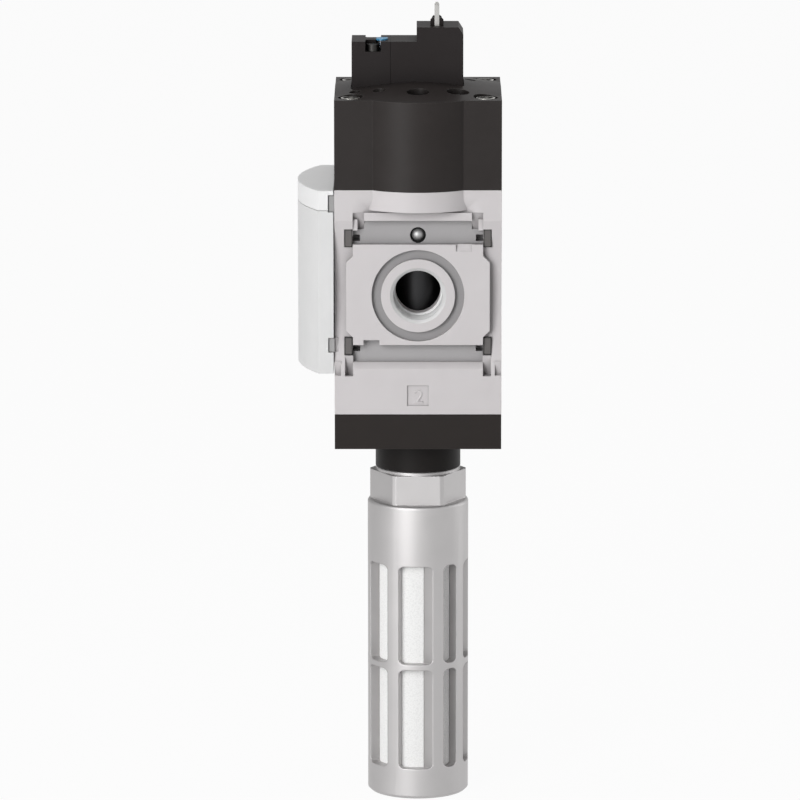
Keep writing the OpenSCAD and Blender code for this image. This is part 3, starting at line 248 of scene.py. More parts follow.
# The pilot valve's shell is moulded finer and slightly glossier than the cap
pilot_pbt = moulded_skin(
    "black_pbt", "#2d2929", "#322f2f", 0.42, 0.25, 0.006, edge_mm=0.25,
    edge_wear_and_highlight=0.0, Specular_IOR_Level=0.05)
# Its two shells meet in a thin open joint, which shows as a dark line round the valve
SHELL_JOINT_X, SHELL_JOINT_WIDTH = -10.2, 0.12
dark_line(pilot_pbt, "X", SHELL_JOINT_X, SHELL_JOINT_WIDTH)
# Clips of dark grey acetal, smooth and a little waxy
acetal = moulded_skin(
    "dark_grey_acetal", "#5f5c5b", "#686564", 0.38, 0.3, 0.003, edge_mm=0.2,
    edge_wear_and_highlight=0.02, recess_shade=0.1, Specular_IOR_Level=0.3)
# A fine gap runs round each clip, seen as a dark outline
CLIP_SIDES, CLIP_ENDS, CLIP_GAP = (24.4, 27.2), (24.65, 18.15, -15.95, -22.4), 0.38
for at_mm in CLIP_SIDES:
    dark_line(acetal, "X", at_mm, CLIP_GAP)
    dark_line(acetal, "X", -at_mm, CLIP_GAP)
for at_mm in CLIP_ENDS:
    dark_line(acetal, "Z", at_mm, CLIP_GAP)
# Black anodised aluminium: darker than the plastic, with a low metallic sheen
black_anodised = moulded_skin(
    "black_anodised_aluminium", "#1b1918", "#211e1d", 0.48, 0.2, 0.003, edge_mm=0.3,
    edge_wear_and_highlight=0.03, Specular_IOR_Level=0.12)
# Unpigmented acetal of the inner pieces: ivory, smooth and satin
natural_acetal = moulded_skin(
    "natural_acetal", "#d9d5c9", "#e4e0d4", 0.42, 0.3, 0.003, edge_mm=0.2)
# Nitrile rubber: matt, near black, with a fine talc bloom
nitrile_rubber = moulded_skin(
    "nitrile_rubber", "#171717", "#222221", 0.68, 0.15, 0.004, edge_mm=0.1,
    edge_wear_and_highlight=0.02, Specular_IOR_Level=0.2)
# Blue polyamide of the button, glossy, with paler edges: wear and painted highlight
blue_polyamide = moulded_skin(
    "blue_polyamide", "#459fd2", "#5caddb", 0.3, 0.3, 0.002, edge_mm=0.2, edge_wear_and_highlight=0.6)
print("with the model's own, materials so far:", len(bpy.data.materials))

# %% [markdown]
# ## Metals
# A bare metal has no colour of its own to hide behind: what reads as steel or
# aluminium is how sharply it mirrors the studio. Turned parts carry rings from
# the lathe, which stretch reflections round the axis, and cast parts are
# blasted, which blurs them evenly. The lathe rings are a wave pattern along the
# part's axis, at the real feed of the tool, and the blasted skin is a noise of
# the size of the shot.

# %% Metal skins
TARNISH_DRIFT = 9 * MM
WAVE_LENGTH = 0.314  # metres from one band of a wave pattern to the next at a scale of 1


def metal_skin(name, colour, rough, grain_mm, depth_mm, feed_mm=0.0, edge_mm=0.25,
               metallic=1.0, spread=0.08):
    """A metal with blasted grain, tool rings up the height, and softly rounded edges."""
    material, tree, shader, place = new_material(name, Metallic=metallic)
    grain = add_node(tree, "ShaderNodeTexNoise", links={
        "Vector": place, "Scale": 1 / (grain_mm * MM), "Detail": 2.0})
    drift = add_node(tree, "ShaderNodeTexNoise", links={
        "Vector": place, "Scale": 1 / TARNISH_DRIFT, "Detail": 3.0})
    dull = (*(0.9 * c for c in linear(colour)[:3]), 1.0)
    tone = add_node(tree, "ShaderNodeMix", {"data_type": "RGBA"},
                    {"Factor": drift.outputs["Fac"], "A": dull, "B": linear(colour)})
    soft = add_node(tree, "ShaderNodeBevel", {"samples": 6}, {"Radius": edge_mm * MM})
    gloss = add_node(tree, "ShaderNodeMapRange", links={
        "Value": drift.outputs["Fac"], "To Min": rough - spread, "To Max": rough + spread})
    bump = add_node(tree, "ShaderNodeBump", links={
        "Height": grain.outputs["Fac"], "Distance": depth_mm * MM, "Strength": 1.0,
        "Normal": soft.outputs["Normal"]})
    if feed_mm:
        rings = add_node(tree, "ShaderNodeTexWave", {"bands_direction": "Z"}, {
            "Vector": place, "Scale": WAVE_LENGTH / (feed_mm * MM), "Distortion": 0.6,
            "Detail": 1.0})
        bump = add_node(tree, "ShaderNodeBump", links={
            "Height": rings.outputs["Fac"], "Distance": depth_mm * MM, "Strength": 1.0,
            "Normal": bump.outputs["Normal"]})
    tree.links.new(tone.outputs["Result"], shader.inputs["Base Color"])
    tree.links.new(gloss.outputs["Result"], shader.inputs["Roughness"])
    tree.links.new(bump.outputs["Normal"], shader.inputs["Normal"])
    return material


print("metal skin ready; its tone drifts over", round(TARNISH_DRIFT / MM, 1), "mm")

# %% [markdown]
# ## Steel, aluminium, brass and copper
# Most of these are inside and show only when the valve is taken apart, but a
# reusable part needs them right as well. They differ in colour, in polish and
# in the marks of the tool. The four screws in the cap have a dished head, whose
# middle is shaded nearly black, so their colour falls off there: painted shade.
# The pattern folds the four corners onto one, because all four screws are one
# piece.

# %% Metal finishes
# Die-cast aluminium, tumbled and blasted: the silencer's satin grey
satin_cast_aluminium = metal_skin(
    "satin_cast_aluminium", "#bcbaba", 0.5, 0.3, 0.006, edge_mm=0.6, spread=0.04)
# Zinc-plated steel of the cap screws: bright, with a soft plating haze
zinc_plated_steel = metal_skin("zinc_plated_steel", "#dcdad4", 0.3, 0.15, 0.002, edge_mm=0.15)
# The balls that close the drillings: steel, dulled by the press
satin_steel = metal_skin(
    "satin_bearing_steel", "#b9b9b9", 0.5, 0.15, 0.002, edge_mm=0.1, metallic=0.7)
# Phosphated screws of the pilot valve and the base: dark and dull
phosphated_steel = metal_skin("phosphated_steel", "#3a3938", 0.45, 0.15, 0.004, edge_mm=0.15)
# Bare die-cast aluminium where the coat is machined away in the ports: pale and satin
machined_aluminium = metal_skin(
    "machined_aluminium", "#dcdcdc", 0.55, 0.3, 0.001, edge_mm=0.15, metallic=0.4)
# Turned stainless steel of the stem and nuts: bright, with lathe rings at a 0.25 mm feed
turned_stainless = metal_skin(
    "turned_stainless_steel", "#c9cacc", 0.26, 0.2, 0.001, feed_mm=0.25)
# Drawn spring wire: smooth, with an even grey shine round the wire
drawn_wire = metal_skin("drawn_spring_wire", "#b4b4b6", 0.34, 0.1, 0.002)
# Machined brass of the seats: warm yellow, with lathe rings
machined_brass = metal_skin("machined_brass", "#d8bd74", 0.28, 0.2, 0.001, feed_mm=0.3)
# Tin-plated contact blades: soft white metal, faintly streaked
tin_plated_brass = metal_skin("tin_plated_brass", "#a9a8a6", 0.42, 0.2, 0.002, edge_mm=0.15)
# Hard-anodised aluminium of the poppet: dark grey, with fine tool rings
anodised_poppet = metal_skin("hard_anodised_aluminium", "#3c3c3d", 0.4, 0.2, 0.002, feed_mm=0.3)
# Enamelled copper wire of the coil: red-brown and glossy
enamelled_copper = metal_skin("enamelled_copper", "#b8673a", 0.25, 0.2, 0.001, edge_mm=0.05)

SCREW_X, SCREW_Y = 25.0, 23.5  # mm from the body's axis
DISH_RADIUS, DISH_RIM = 2.9, 0.25


def shaded_dish(material):
    """Darkens the dished middle of the four cap screws: painted shade."""
    tree = material.node_tree
    place = tree.nodes["Texture Coordinate"].outputs["Object"]
    middle = add_node(tree, "ShaderNodeVectorMath", {"operation": "SUBTRACT"},
                      {0: place, 1: (0.0, AXIS_Y, 0.0)})
    quarter = add_node(tree, "ShaderNodeVectorMath", {"operation": "ABSOLUTE"},
                       {0: middle.outputs[0]})
    off = add_node(tree, "ShaderNodeVectorMath", {"operation": "SUBTRACT"},
                   {0: quarter.outputs[0], 1: (SCREW_X * MM, SCREW_Y * MM, 0.0)})
    flat = add_node(tree, "ShaderNodeVectorMath", {"operation": "MULTIPLY"},
                    {0: off.outputs[0], 1: (1.0, 1.0, 0.0)})
    radius = add_node(tree, "ShaderNodeVectorMath", {"operation": "LENGTH"},
                      {0: flat.outputs[0]})
    dish = add_node(tree, "ShaderNodeMapRange", links={
        "Value": radius.outputs["Value"], "To Min": 0.08, "To Max": 1.0,
        "From Min": DISH_RADIUS * MM, "From Max": (DISH_RADIUS + DISH_RIM) * MM})
    darken(tree, dish.outputs["Result"])


shaded_dish(zinc_plated_steel)
print("with the metals:", len(bpy.data.materials))

# %% [markdown]
# ## The silencer's porous sleeve
# Inside the slotted tube stands a tube of sintered polyethylene: white beads
# fused at their contacts, with pores between them that let the air out. Beads
# are cells, so a Voronoi pattern gives the surface, raised in the middle of each
# bead and slightly greyer in the pores. Real beads are nearer 0.35 mm; these are
# 0.45 mm, as fine as the picture can show.

# %% Porous sleeve
BEAD_MM = 0.45
porous_polyethylene, tree, shader, place = new_material("porous_polyethylene", Roughness=0.75)
beads = add_node(tree, "ShaderNodeTexVoronoi", {"feature": "F1"},
                 {"Vector": place, "Scale": 1 / (BEAD_MM * MM)})
pores = add_node(tree, "ShaderNodeMapRange", links={
    "Value": beads.outputs["Distance"], "From Min": 0.35, "From Max": 0.8})
bead_tone = add_node(tree, "ShaderNodeMix", {"data_type": "RGBA"}, {
    "Factor": pores.outputs["Result"], "A": linear("#fbfbfa"), "B": linear("#f1f1f0")})
bead_bump = add_node(tree, "ShaderNodeBump", {"invert": True}, {
    "Height": beads.outputs["Distance"], "Distance": 0.03 * MM, "Strength": 0.3})
tree.links.new(bead_tone.outputs["Result"], shader.inputs["Base Color"])
tree.links.new(bead_bump.outputs["Normal"], shader.inputs["Normal"])
print("sleeve beads:", BEAD_MM, "mm")

# %% [markdown]
# ## Dressing the mechanical parts
# Most parts keep their exact meshes, so a valve that seals in the model still
# seals here, and only their materials change. One table says which finish each
# part has. The few parts that are replaced by copies further down get theirs
# here too, because a copy takes its finish along.

# %% Assign finishes
FINISHES = {
    black_polyamide: ["cap_housing", "cap_plugs"],
    base_polyamide: ["base_plate"],
    pilot_pbt: ["pilot_body", "pilot_coil_housing", "contact_collars"],
    black_anodised: ["exhaust_adapter"],
    light_abs: ["hood_front"],
    lit_top_abs: ["hood_cap"],
    satin_steel: ["sealing_balls"],
    acetal: ["module_clips"],
    natural_acetal: ["pilot_piston", "guide_plate", "coil_bobbin"],
    nitrile_rubber: ["cap_seal", "base_seal", "adapter_seal", "seat_seals", "guide_seal",
                     "stem_seal", "poppet_seals", "piston_seal", "pilot_gasket",
                     "armature_seal", "silencer_seal"],
    blue_polyamide: ["manual_override"],
    satin_cast_aluminium: ["silencer_housing", "silencer_end_cap"],
    porous_polyethylene: ["silencer_sleeve"],
    zinc_plated_steel: ["cap_screws", "throttle_screw"],
    phosphated_steel: ["pilot_screws", "base_screws", "seat_clip"],
    turned_stainless: ["valve_stem", "stem_nut", "piston_nut", "gauge_plug", "fixed_core",
                       "armature"],
    drawn_wire: ["return_spring", "armature_spring", "override_spring"],
    machined_brass: ["inlet_seat", "exhaust_seat", "throttle_needle"],
    anodised_poppet: ["poppet"],
    tin_plated_brass: ["contact_blades"],
    enamelled_copper: ["coil_winding"],
}
for material, names in FINISHES.items():
    for name in names:
        mesh = nodes[name].data
        mesh.materials.clear()
        mesh.materials.append(material)
undressed = set(nodes) - {n for names in FINISHES.values() for n in names}
print("dressed", sum(map(len, FINISHES.values())), "nodes; left out:", sorted(undressed))

# %% [markdown]
# ## The body's casting
# A die casting has details that a mechanical model keeps simple. Its pocket
# floors slope, so that the die can pull out and metal can flow into thin ribs,
# and the lugs under the cover run out in longer tails. Such forms could be
# sculpted, but they are flat-sided, so each is a small wedge, written as the
# outline of its side and the two places across the body where it starts and
# ends. Each is mirrored to the other side or to the back wherever the casting
# repeats itself.

# %% Wedges for the pockets
PLATE, BAR, BAR_TOP, POCKET_LOW = 24.15, 20.0, 31.2, 24.45


def solid_hull(points):
    """A closed mesh round a set of points in mm, where y is the depth behind a port face."""
    shape = bmesh.new()
    for p in points:
        shape.verts.new([c * MM for c in p])
    bmesh.ops.convex_hull(shape, input=shape.verts)
    return shape


def slab(x0, x1, profile):
    """The points of a prism along X whose outline is given as (depth, height) pairs."""
    return [(x, d, z) for x in (x0, x1) for d, z in profile]


def mirrored(points, side=1, back=False):
    """The same points for the left side, or for the back port face."""
    return [(side * x, 2 * HALF - y if back else y, z) for x, y, z in points]


# Every wedge reaches a little into its neighbours, so that no two faces only touch.
# The floor of an upper pocket, from close to the port face down to 5 mm behind it
pocket = slab(BAR - 0.05, PLATE + 0.1, [
    (0.7, BAR_TOP + 0.1), (4.9, POCKET_LOW + 0.6), (6.2, POCKET_LOW - 0.02),
    (6.2, BAR_TOP + 0.1)])
# The sloping floor of a lower pocket, and the shallower one at its outer side
heel = slab(PLATE - 0.1, 27.15, [(1.0, -22.75), (4.2, -30.45), (7.0, -30.45), (7.0, -22.75)])
notch = slab(28.55, 30.95, [(0.3, -24.8), (1.7, -30.15), (3.3, -30.15), (3.3, -24.8)])
# The fill of the corner step at the upper right, and the opening at the lower left
upper_step = slab(14.05, 20.05, [(0.15, 16.7), (1.3, 19.26), (2.2, 19.26), (2.2, 16.7)])
lower_step = slab(-20.2, -14.3, [(-0.5, -19.0), (-0.5, -16.75), (4.0, -16.75), (4.0, -19.0)])
# The tail of the upper lug under the cover, and the deeper notch beside the lower one
lug_tail = slab(-33.0, -30.9, [(0.6, 31.5), (0.6, 34.0), (1.8, 34.0), (1.8, 31.5)])
lug_root = slab(-30.98, -29.6, [(-0.5, -21.4), (2.1, -21.4), (2.1, -15.9), (-0.5, -15.9)])

FACES = (False, True)  # the front port face and the back one
CORNERS = [(side, back) for side in (1, -1) for back in FACES]
WEDGES = [mirrored(points, *corner) for points in (heel, notch) for corner in CORNERS]
WEDGES += [mirrored(points, 1, back) for points in (upper_step, lug_tail) for back in FACES]
FLOORS = [mirrored(pocket, *corner) for corner in CORNERS]
CUTS = [mirrored(points, 1, back) for points in (lower_step, lug_root) for back in FACES]
print("wedges:", len(WEDGES) + len(FLOORS), "cuts:", len(CUTS))

# %% [markdown]
# ## Hollows beside the bulge
# Beside the round bulge the face above the upper bar runs in softly. That form
# is curved, so it is a grid of points, each set back by a smooth step across
# and by a falling curve upwards, and closed to a solid behind.

# %% Hollows
HOLLOW_DEPTH, HOLLOW_WIDTH, HOLLOW_HEIGHT = 2.5, 10.5, 8.3


def hollow(side, back):
    """A solid whose face runs in from the port face to the foot of the bulge."""
    across, up = 14, 8
    shape = bmesh.new()
    grid = []
    for i in range(across + 1):
        t = i / across
        for j in range(up + 1):
            s = 1 - j / up
            d = HOLLOW_DEPTH * (3 * t * t - 2 * t ** 3) * s ** 1.5
            x, z = PLATE + 0.1 - t * HOLLOW_WIDTH, BAR_TOP - 0.05 + (1 - s) * HOLLOW_HEIGHT
            grid += mirrored([(x, d, z), (x, HOLLOW_DEPTH + 1.0, z)], side, back)
    dots = [shape.verts.new([c * MM for c in p]) for p in grid]

    def at(i, j, k):
        return dots[2 * (i * (up + 1) + j) + k]

    for i in range(across):
        for j in range(up):
            for k in (0, 1):
                shape.faces.new((at(i, j, k), at(i + 1, j, k), at(i + 1, j + 1, k),
                                 at(i, j + 1, k)))
    rim = [(i, 0) for i in range(across)] + [(across, j) for j in range(up)]
    rim += [(i, up) for i in range(across, 0, -1)] + [(0, j) for j in range(up, 0, -1)]
    for a, b in zip(rim, rim[1:] + rim[:1]):
        shape.faces.new((at(*a, 0), at(*b, 0), at(*b, 1), at(*a, 1)))
    bmesh.ops.recalc_face_normals(shape, faces=shape.faces)
    return shape


hollows = [hollow(*corner) for corner in CORNERS]
print("hollows:", len(hollows), "of", len(hollows[0].faces), "faces each")

# %% [markdown]
# ## Joining them to a copy of the casting
# Boolean modifiers join or cut the solids in four steps. They need closed
# meshes, and a mechanical part arrives as loose triangles, so its copy is merged
# at the corners first. Booleans leave long thin faces that smooth shading would
# streak, so only the faces that belong to a curve are shaded smooth.

# %% Join them to a copy of the casting


def gather(name, solids):
    """One object that holds all the closed solids."""
    mesh = bpy.data.meshes.new(name)
    whole = bmesh.new()
    for part in solids:
        part.to_mesh(mesh)
        whole.from_mesh(mesh)
        part.free()
    whole.to_mesh(mesh)
    whole.free()
    tool = bpy.data.objects.new(name, mesh)
    bpy.context.scene.collection.objects.link(tool)
    return tool


def merged_copy(node, name):
    """A copy of a mechanical part's mesh with its loose triangles merged at their corners."""
    mesh = nodes[node].data.copy()
    shape = bmesh.new()
    shape.from_mesh(mesh)
    bmesh.ops.remove_doubles(shape, verts=shape.verts, dist=0.001 * MM)
    shape.to_mesh(mesh)
    shape.free()
    copy = bpy.data.objects.new(name, mesh)
    bpy.context.scene.collection.objects.link(copy)
    return copy


def shade_by_form(mesh):
    """Smooth shading on curved faces, whose neighbours lie at a small angle; others stay flat."""
    least_bend, most_bend, sharp = 0.25, 14, 18  # degrees
    shape = bmesh.new()
    shape.from_mesh(mesh)
    for face in shape.faces:
        bends = [math.degrees(e.calc_face_angle(0)) for e in face.edges]
        aligned = max(abs(n) for n in face.normal) > 0.99999
        face.smooth = not aligned and any(least_bend < bend < most_bend for bend in bends)
    for edge in shape.edges:
        edge.smooth = math.degrees(edge.calc_face_angle(math.pi)) < sharp
    shape.to_mesh(mesh)
    shape.free()


casting = merged_copy("body_casting", "finished_casting")
STEPS = [("wedges", [solid_hull(points) for points in WEDGES], "UNION"),
         ("hollows", hollows, "UNION"),
         ("floors", [solid_hull(points) for points in FLOORS], "UNION"),
         ("cuts", [solid_hull(points) for points in CUTS], "DIFFERENCE")]
tools = []
for name, solids, operation in STEPS:
    tool = gather(name, solids)
    step = casting.modifiers.new(name, "BOOLEAN")
    step.operation, step.object, step.solver = operation, tool, "EXACT"
    tools.append(tool)
graph = bpy.context.evaluated_depsgraph_get()
finished = bpy.data.meshes.new_from_object(casting.evaluated_get(graph), depsgraph=graph)
casting.modifiers.clear()
casting.data = finished
for tool in tools:
    bpy.data.objects.remove(tool)
print("casting:", len(finished.polygons), "faces")

# %% [markdown]
# ## Paint and bare metal by place
# The ports are machined after painting, so the coat stops there. The seal
# grooves, the channels and the lugs take darker copies of the coat, and the
# holes round the sealing balls the black rubber, all as painted shade. The
# borders between these finishes are edges of the casting, so no picture has to
# be painted: each face gets its finish from the place of its centre.

# %% Paint and bare metal by place
CASTING_FINISHES = [coated_casting, machined_aluminium, nitrile_rubber, shaded_groove,
                    shaded_lug, channel_shade_coat]
PORT_RADIUS, PORT_DEPTHS = 10.5, (0.01, 12)
BALL_Z, BALL_SHADE_RADIUS, BALL_SHADE_DEPTHS = 22.2, 3.0, (4.05, 9)
GROOVE_RADII, GROOVE_DEPTHS = (12.2, 16.2), (0.3, 4)
LUG_X = -31.05
CHANNEL_HEIGHTS, CHANNEL_DEPTHS = (16.6, 24.6), (2.3, 9)
TOP_HALF_WIDTH, TOP_HEIGHTS, TOP_DEPTHS = 20.05, (24.4, 28.3), (0.5, 9)


def between(value, limits):
    """Whether a value in metres lies between two limits in mm."""
    return limits[0] * MM < value < limits[1] * MM


def finish_at(x, y, z):
    """The finish of a face of the casting, from the place of its centre."""
    depth = min(y, MODULE_DEPTH - y)
    from_port = math.hypot(x, z)
    if from_port < PORT_RADIUS * MM and between(depth, PORT_DEPTHS):
        return machined_aluminium
    # The hole round each ball is dressed in the black rubber as painted shade
    if math.hypot(x, z - BALL_Z * MM) < BALL_SHADE_RADIUS * MM and between(depth, BALL_SHADE_DEPTHS):
        return nitrile_rubber
    # Groove, lugs and channels take darker copies of the coat as painted shade
    if between(from_port, GROOVE_RADII) and between(depth, GROOVE_DEPTHS):
        return shaded_groove
    if x < LUG_X * MM:
        return shaded_lug
    if abs(x) < PLATE * MM and between(abs(z), CHANNEL_HEIGHTS) and between(depth, CHANNEL_DEPTHS):
        return channel_shade_coat
    if abs(x) < TOP_HALF_WIDTH * MM and between(z, TOP_HEIGHTS) and between(depth, TOP_DEPTHS):
        return channel_shade_coat
    return coated_casting


finished.materials.clear()
for material in CASTING_FINISHES:
    finished.materials.append(material)
for face in finished.polygons:
    face.material_index = CASTING_FINISHES.index(finish_at(*face.center))
shade_by_form(finished)
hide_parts("body_casting")
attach(casting, "module")
bare = CASTING_FINISHES.index(machined_aluminium)
print("bare metal faces:", sum(face.material_index == bare for face in finished.polygons))

# %% [markdown]
# ## The cover
# The cover is two mouldings: a long shell and a separate top that closes it.
# The joint between them runs level with the foot of the upper window, and the
# front face bows out from corners that stand a little closer to the body than
# in the mechanical model. The ribs' feet end flush with the skin. The copies
# take that form: the feet are cut off at the skin and the hole is closed, then
# the corners and the joint are moved to their places.

# %% Cover shell and its top
COVER_OUT, COVER_SIDE = 14.0, 6.9  # mm out from the body, in the middle and at the sides
BOW = COVER_OUT - COVER_SIDE
COVER_ARC = (HALF ** 2 + BOW ** 2) / (2 * BOW)
SEAM_Z, SEAM_DROP = 34.3, 2.25
CORNER_SHIFT, SHIFT_FROM_X, SHIFT_FADE = 1.0, -33.6, 3
PROUD = 0.05


def skin_x(y):
    """Where the cover's bowed front stands, in mm, at a distance y from the middle."""
    return -HALF - COVER_OUT + COVER_ARC - math.sqrt(max(COVER_ARC ** 2 - y ** 2, 0))


def cover_piece(node, name, low, high):
    """A copy of one moulding with flush feet, lowered where its height is from low to high."""
    piece = merged_copy(node, name)
    shape = bmesh.new()
    shape.from_mesh(piece.data)
    proud = [v for v in shape.verts
             if v.co.x / MM < skin_x((v.co.y - AXIS_Y) / MM) - PROUD]
    bmesh.ops.delete(shape, geom=proud, context="VERTS")
    bmesh.ops.holes_fill(shape, edges=[e for e in shape.edges if e.is_boundary], sides=0)
    for v in shape.verts:
        across = (v.co.y - AXIS_Y) / (HALF * MM)
        share = min(max((SHIFT_FROM_X - v.co.x / MM) / SHIFT_FADE, 0), 1)
        v.co.x += CORNER_SHIFT * MM * across ** 2 * share
        if low < v.co.z / MM < high:
            v.co.z -= SEAM_DROP * MM
    shape.to_mesh(piece.data)
    shape.free()
    shade_by_form(piece.data)
    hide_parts(node)
    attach(piece, "module")
    print(name, "feet trimmed at", len(proud), "corners")


cover_piece("hood_front", "cover_shell", SEAM_Z - 1.5, math.inf)
cover_piece("hood_cap", "cover_top", -math.inf, SEAM_Z + 0.5)

# %% [markdown]
# ## The silencer's rows of slots
# The two rows of slots sit a little lower on the tube than in the mechanical
# model, the upper row by two millimetres at its top and the lower one by about
# one. Every corner of a slot lies close to one of eight heights, so one curve of
# shift against height moves the rows and leaves the rest of the casting alone.

# %% Silencer housing with its rows in place
ROW_SHIFTS = [(-183.7, 0.55), (-181.8, 0.55), (-146.6, 1.02), (-144.7, 1.02),
              (-142.6, 1.18), (-140.7, 1.18), (-105.5, 2.13), (-103.6, 2.13)]


def row_shift(z):
    """How far a slot's corner at height z, in mm, moves down."""
    for (z0, d0), (z1, d1) in zip(ROW_SHIFTS, ROW_SHIFTS[1:]):
        if z0 <= z <= z1:
            return d0 + (d1 - d0) * (z - z0) / (z1 - z0)
    return 0.0


slotted = merged_copy("silencer_housing", "slotted_housing")
moved = 0
for corner in slotted.data.vertices:
    shift = row_shift(corner.co.z / MM)
    corner.co.z -= shift * MM
    moved += shift > 0
shade_by_form(slotted.data)
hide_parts("silencer_housing")
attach(slotted, "module")
print("slot corners moved:", moved)

# %% [markdown]
# ## The springs
# A spring shortens by the travel of the piece that stands on it, while its
# other end stays in its seat. Here each one is only a smooth-shaded copy in the
# part's place, at its full length; the table lists the part, its joint, axis,
# fixed end, travel and finish, and only the part is read.

# %% Springs
SPRINGS = [("return_spring", "valve_stroke", 2, "low", 5.0, "spring_steel"),
           ("armature_spring", "armature_stroke", 0, "high", 0.8, "spring_steel"),
           ("override_spring", "override_press", 2, "low", 0.85, "spring_steel")]
for node, joint, axis, fixed_end, travel, finish in SPRINGS:
    coil = merged_copy(node, node + "_turns")
    for face in coil.data.polygons:
        face.use_smooth = True
    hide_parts(node)
    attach(coil, "module")
    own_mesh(coil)

# %% [markdown]
# ## Pipe threads
# Each port is tapped: G1/2 in the casting, with a pitch of 1.814 mm, and G1/8
# in the cap, with 0.907 mm. The mechanical model leaves the bores smooth at the
# crest radius, so the thread is added here. It could be a texture, but a thread
# catches light on real flanks. A Geometry Nodes tree sweeps a small diamond
# along a spiral, half of it buried in the wall, and places the result at every
# port mouth, turned to the port's own axis, which each point of the host mesh
# carries as an attribute.

# %% Thread tree
STEPS_PER_TURN = 64
FLANK = 0.42  # how far a ridge reaches to each side, as a share of the pitch


def thread_tree():
    """A tree that puts a swept thread on each point, along the point's inward attribute."""
    tree = bpy.data.node_groups.new("pipe_thread", "GeometryNodeTree")
    tree.is_modifier = True
    socket = tree.interface.new_socket
    socket("Mouths", in_out="INPUT", socket_type="NodeSocketGeometry")
    for name in ("Bore Radius", "Pitch", "Depth", "Ridge"):
        socket(name, in_out="INPUT", socket_type="NodeSocketFloat")
    socket("Material", in_out="INPUT", socket_type="NodeSocketMaterial")
    socket("Threads", in_out="OUTPUT", socket_type="NodeSocketGeometry")
    given = add_node(tree, "NodeGroupInput").outputs
    turns = add_node(tree, "ShaderNodeMath", {"operation": "DIVIDE"},
                     {0: given["Depth"], 1: given["Pitch"]})
    spiral = add_node(tree, "GeometryNodeCurveSpiral", links={
        "Resolution": STEPS_PER_TURN, "Rotations": turns.outputs[0],
        "Start Radius": given["Bore Radius"], "End Radius": given["Bore Radius"],
        "Height": given["Depth"]})
    upright = add_node(tree, "GeometryNodeSetCurveNormal", {"mode": "Z_UP"},
                       {"Curve": spiral.outputs[0]})
    flank = add_node(tree, "ShaderNodeMath", {"operation": "MULTIPLY"},
                     {0: given["Pitch"], 1: FLANK})
    shape = add_node(tree, "ShaderNodeCombineXYZ", links={
        0: given["Ridge"], 1: flank.outputs[0], 2: 1.0})
    diamond = add_node(tree, "GeometryNodeCurvePrimitiveCircle", links={
        "Resolution": 4, "Radius": 1.0})
    ridge = add_node(tree, "GeometryNodeTransform", links={
        "Geometry": diamond.outputs[0], "Scale": shape.outputs[0]})
    swept = add_node(tree, "GeometryNodeCurveToMesh", links={
        "Curve": upright.outputs[0], "Profile Curve": ridge.outputs[0], "Fill Caps": True})
    inward = add_node(tree, "GeometryNodeInputNamedAttribute", {"data_type": "FLOAT_VECTOR"},
                      {"Name": "inward"})
    turn = add_node(tree, "FunctionNodeAlignRotationToVector", {"axis": "Z"},
                    {"Vector": inward.outputs["Attribute"]})
    placed = add_node(tree, "GeometryNodeInstanceOnPoints", links={
        "Points": given["Mouths"], "Instance": swept.outputs[0], "Rotation": turn.outputs[0]})
    real = add_node(tree, "GeometryNodeRealizeInstances", links={0: placed.outputs[0]})
    dressed = add_node(tree, "GeometryNodeSetMaterial", links={
        "Geometry": real.outputs[0], "Material": given["Material"]})
    add_node(tree, "NodeGroupOutput", links={0: dressed.outputs[0]})
    return tree


def harden(name, mesh, tree, values):
    """Runs a tree on a mesh, with its inputs set by identifier, and keeps the plain result."""
    host = bpy.data.objects.new(name, mesh)
    bpy.context.scene.collection.objects.link(host)
    modifier = host.modifiers.new("make", "NODES")
    modifier.node_group = tree
    for item in tree.interface.items_tree:
        if item.in_out == "INPUT" and item.name in values:
            modifier[item.identifier] = values[item.name]
    graph = bpy.context.evaluated_depsgraph_get()
    result = bpy.data.meshes.new_from_object(host.evaluated_get(graph), depsgraph=graph)
    host.modifiers.clear()
    host.data = result
    return host


def mouths(name, places):
    """A mesh of bare points, one for each (place, inward direction)."""
    mesh = bpy.data.meshes.new(name)
    mesh.from_pydata([p for p, _ in places], [], [])
    inward = mesh.attributes.new("inward", "FLOAT_VECTOR", "POINT")
    inward.data.foreach_set("vector", [c for _, d in places for c in d])
    return mesh


TREE = thread_tree()
print("thread tree:", len(TREE.nodes), "nodes")

# %% [markdown]
# ## Threads at their ports
# The same tree serves both sizes. Ports 1 and 2 lie on one axis and face away
# from each other, so their threads start just inside each port face and run
# towards the middle. The two small ports in the cap open upwards.

# %% Thread the four ports
MAIN_START, MAIN_DEPTH, MAIN_PITCH = 1.6 * MM, 8.6 * MM, 1.814 * MM
MAIN_PORTS = [((0, MAIN_START, 0), (0, 1, 0)),
              ((0, MODULE_DEPTH - MAIN_START, 0), (0, -1, 0))]
main_threads = harden("port_threads", mouths("port_threads", MAIN_PORTS), TREE, {
    "Bore Radius": 9.3155 * MM, "Pitch": MAIN_PITCH, "Depth": MAIN_DEPTH,
    "Ridge": 0.2 * MM, "Material": machined_aluminium})

PILOT_TOP, PILOT_DEPTH, PILOT_PITCH = 73.6 * MM, 6.3 * MM, 0.907 * MM
PILOT_PORTS = [((x, y, PILOT_TOP), (0, 0, -1))
               for x, y in ((0, 9 * MM), (14.7 * MM, 11.7 * MM))]
pilot_threads = harden(
    "pilot_port_threads", mouths("pilot_port_threads", PILOT_PORTS), TREE, {
        "Bore Radius": 4.283 * MM, "Pitch": PILOT_PITCH, "Depth": PILOT_DEPTH,
        "Ridge": 0.18 * MM, "Material": black_polyamide})

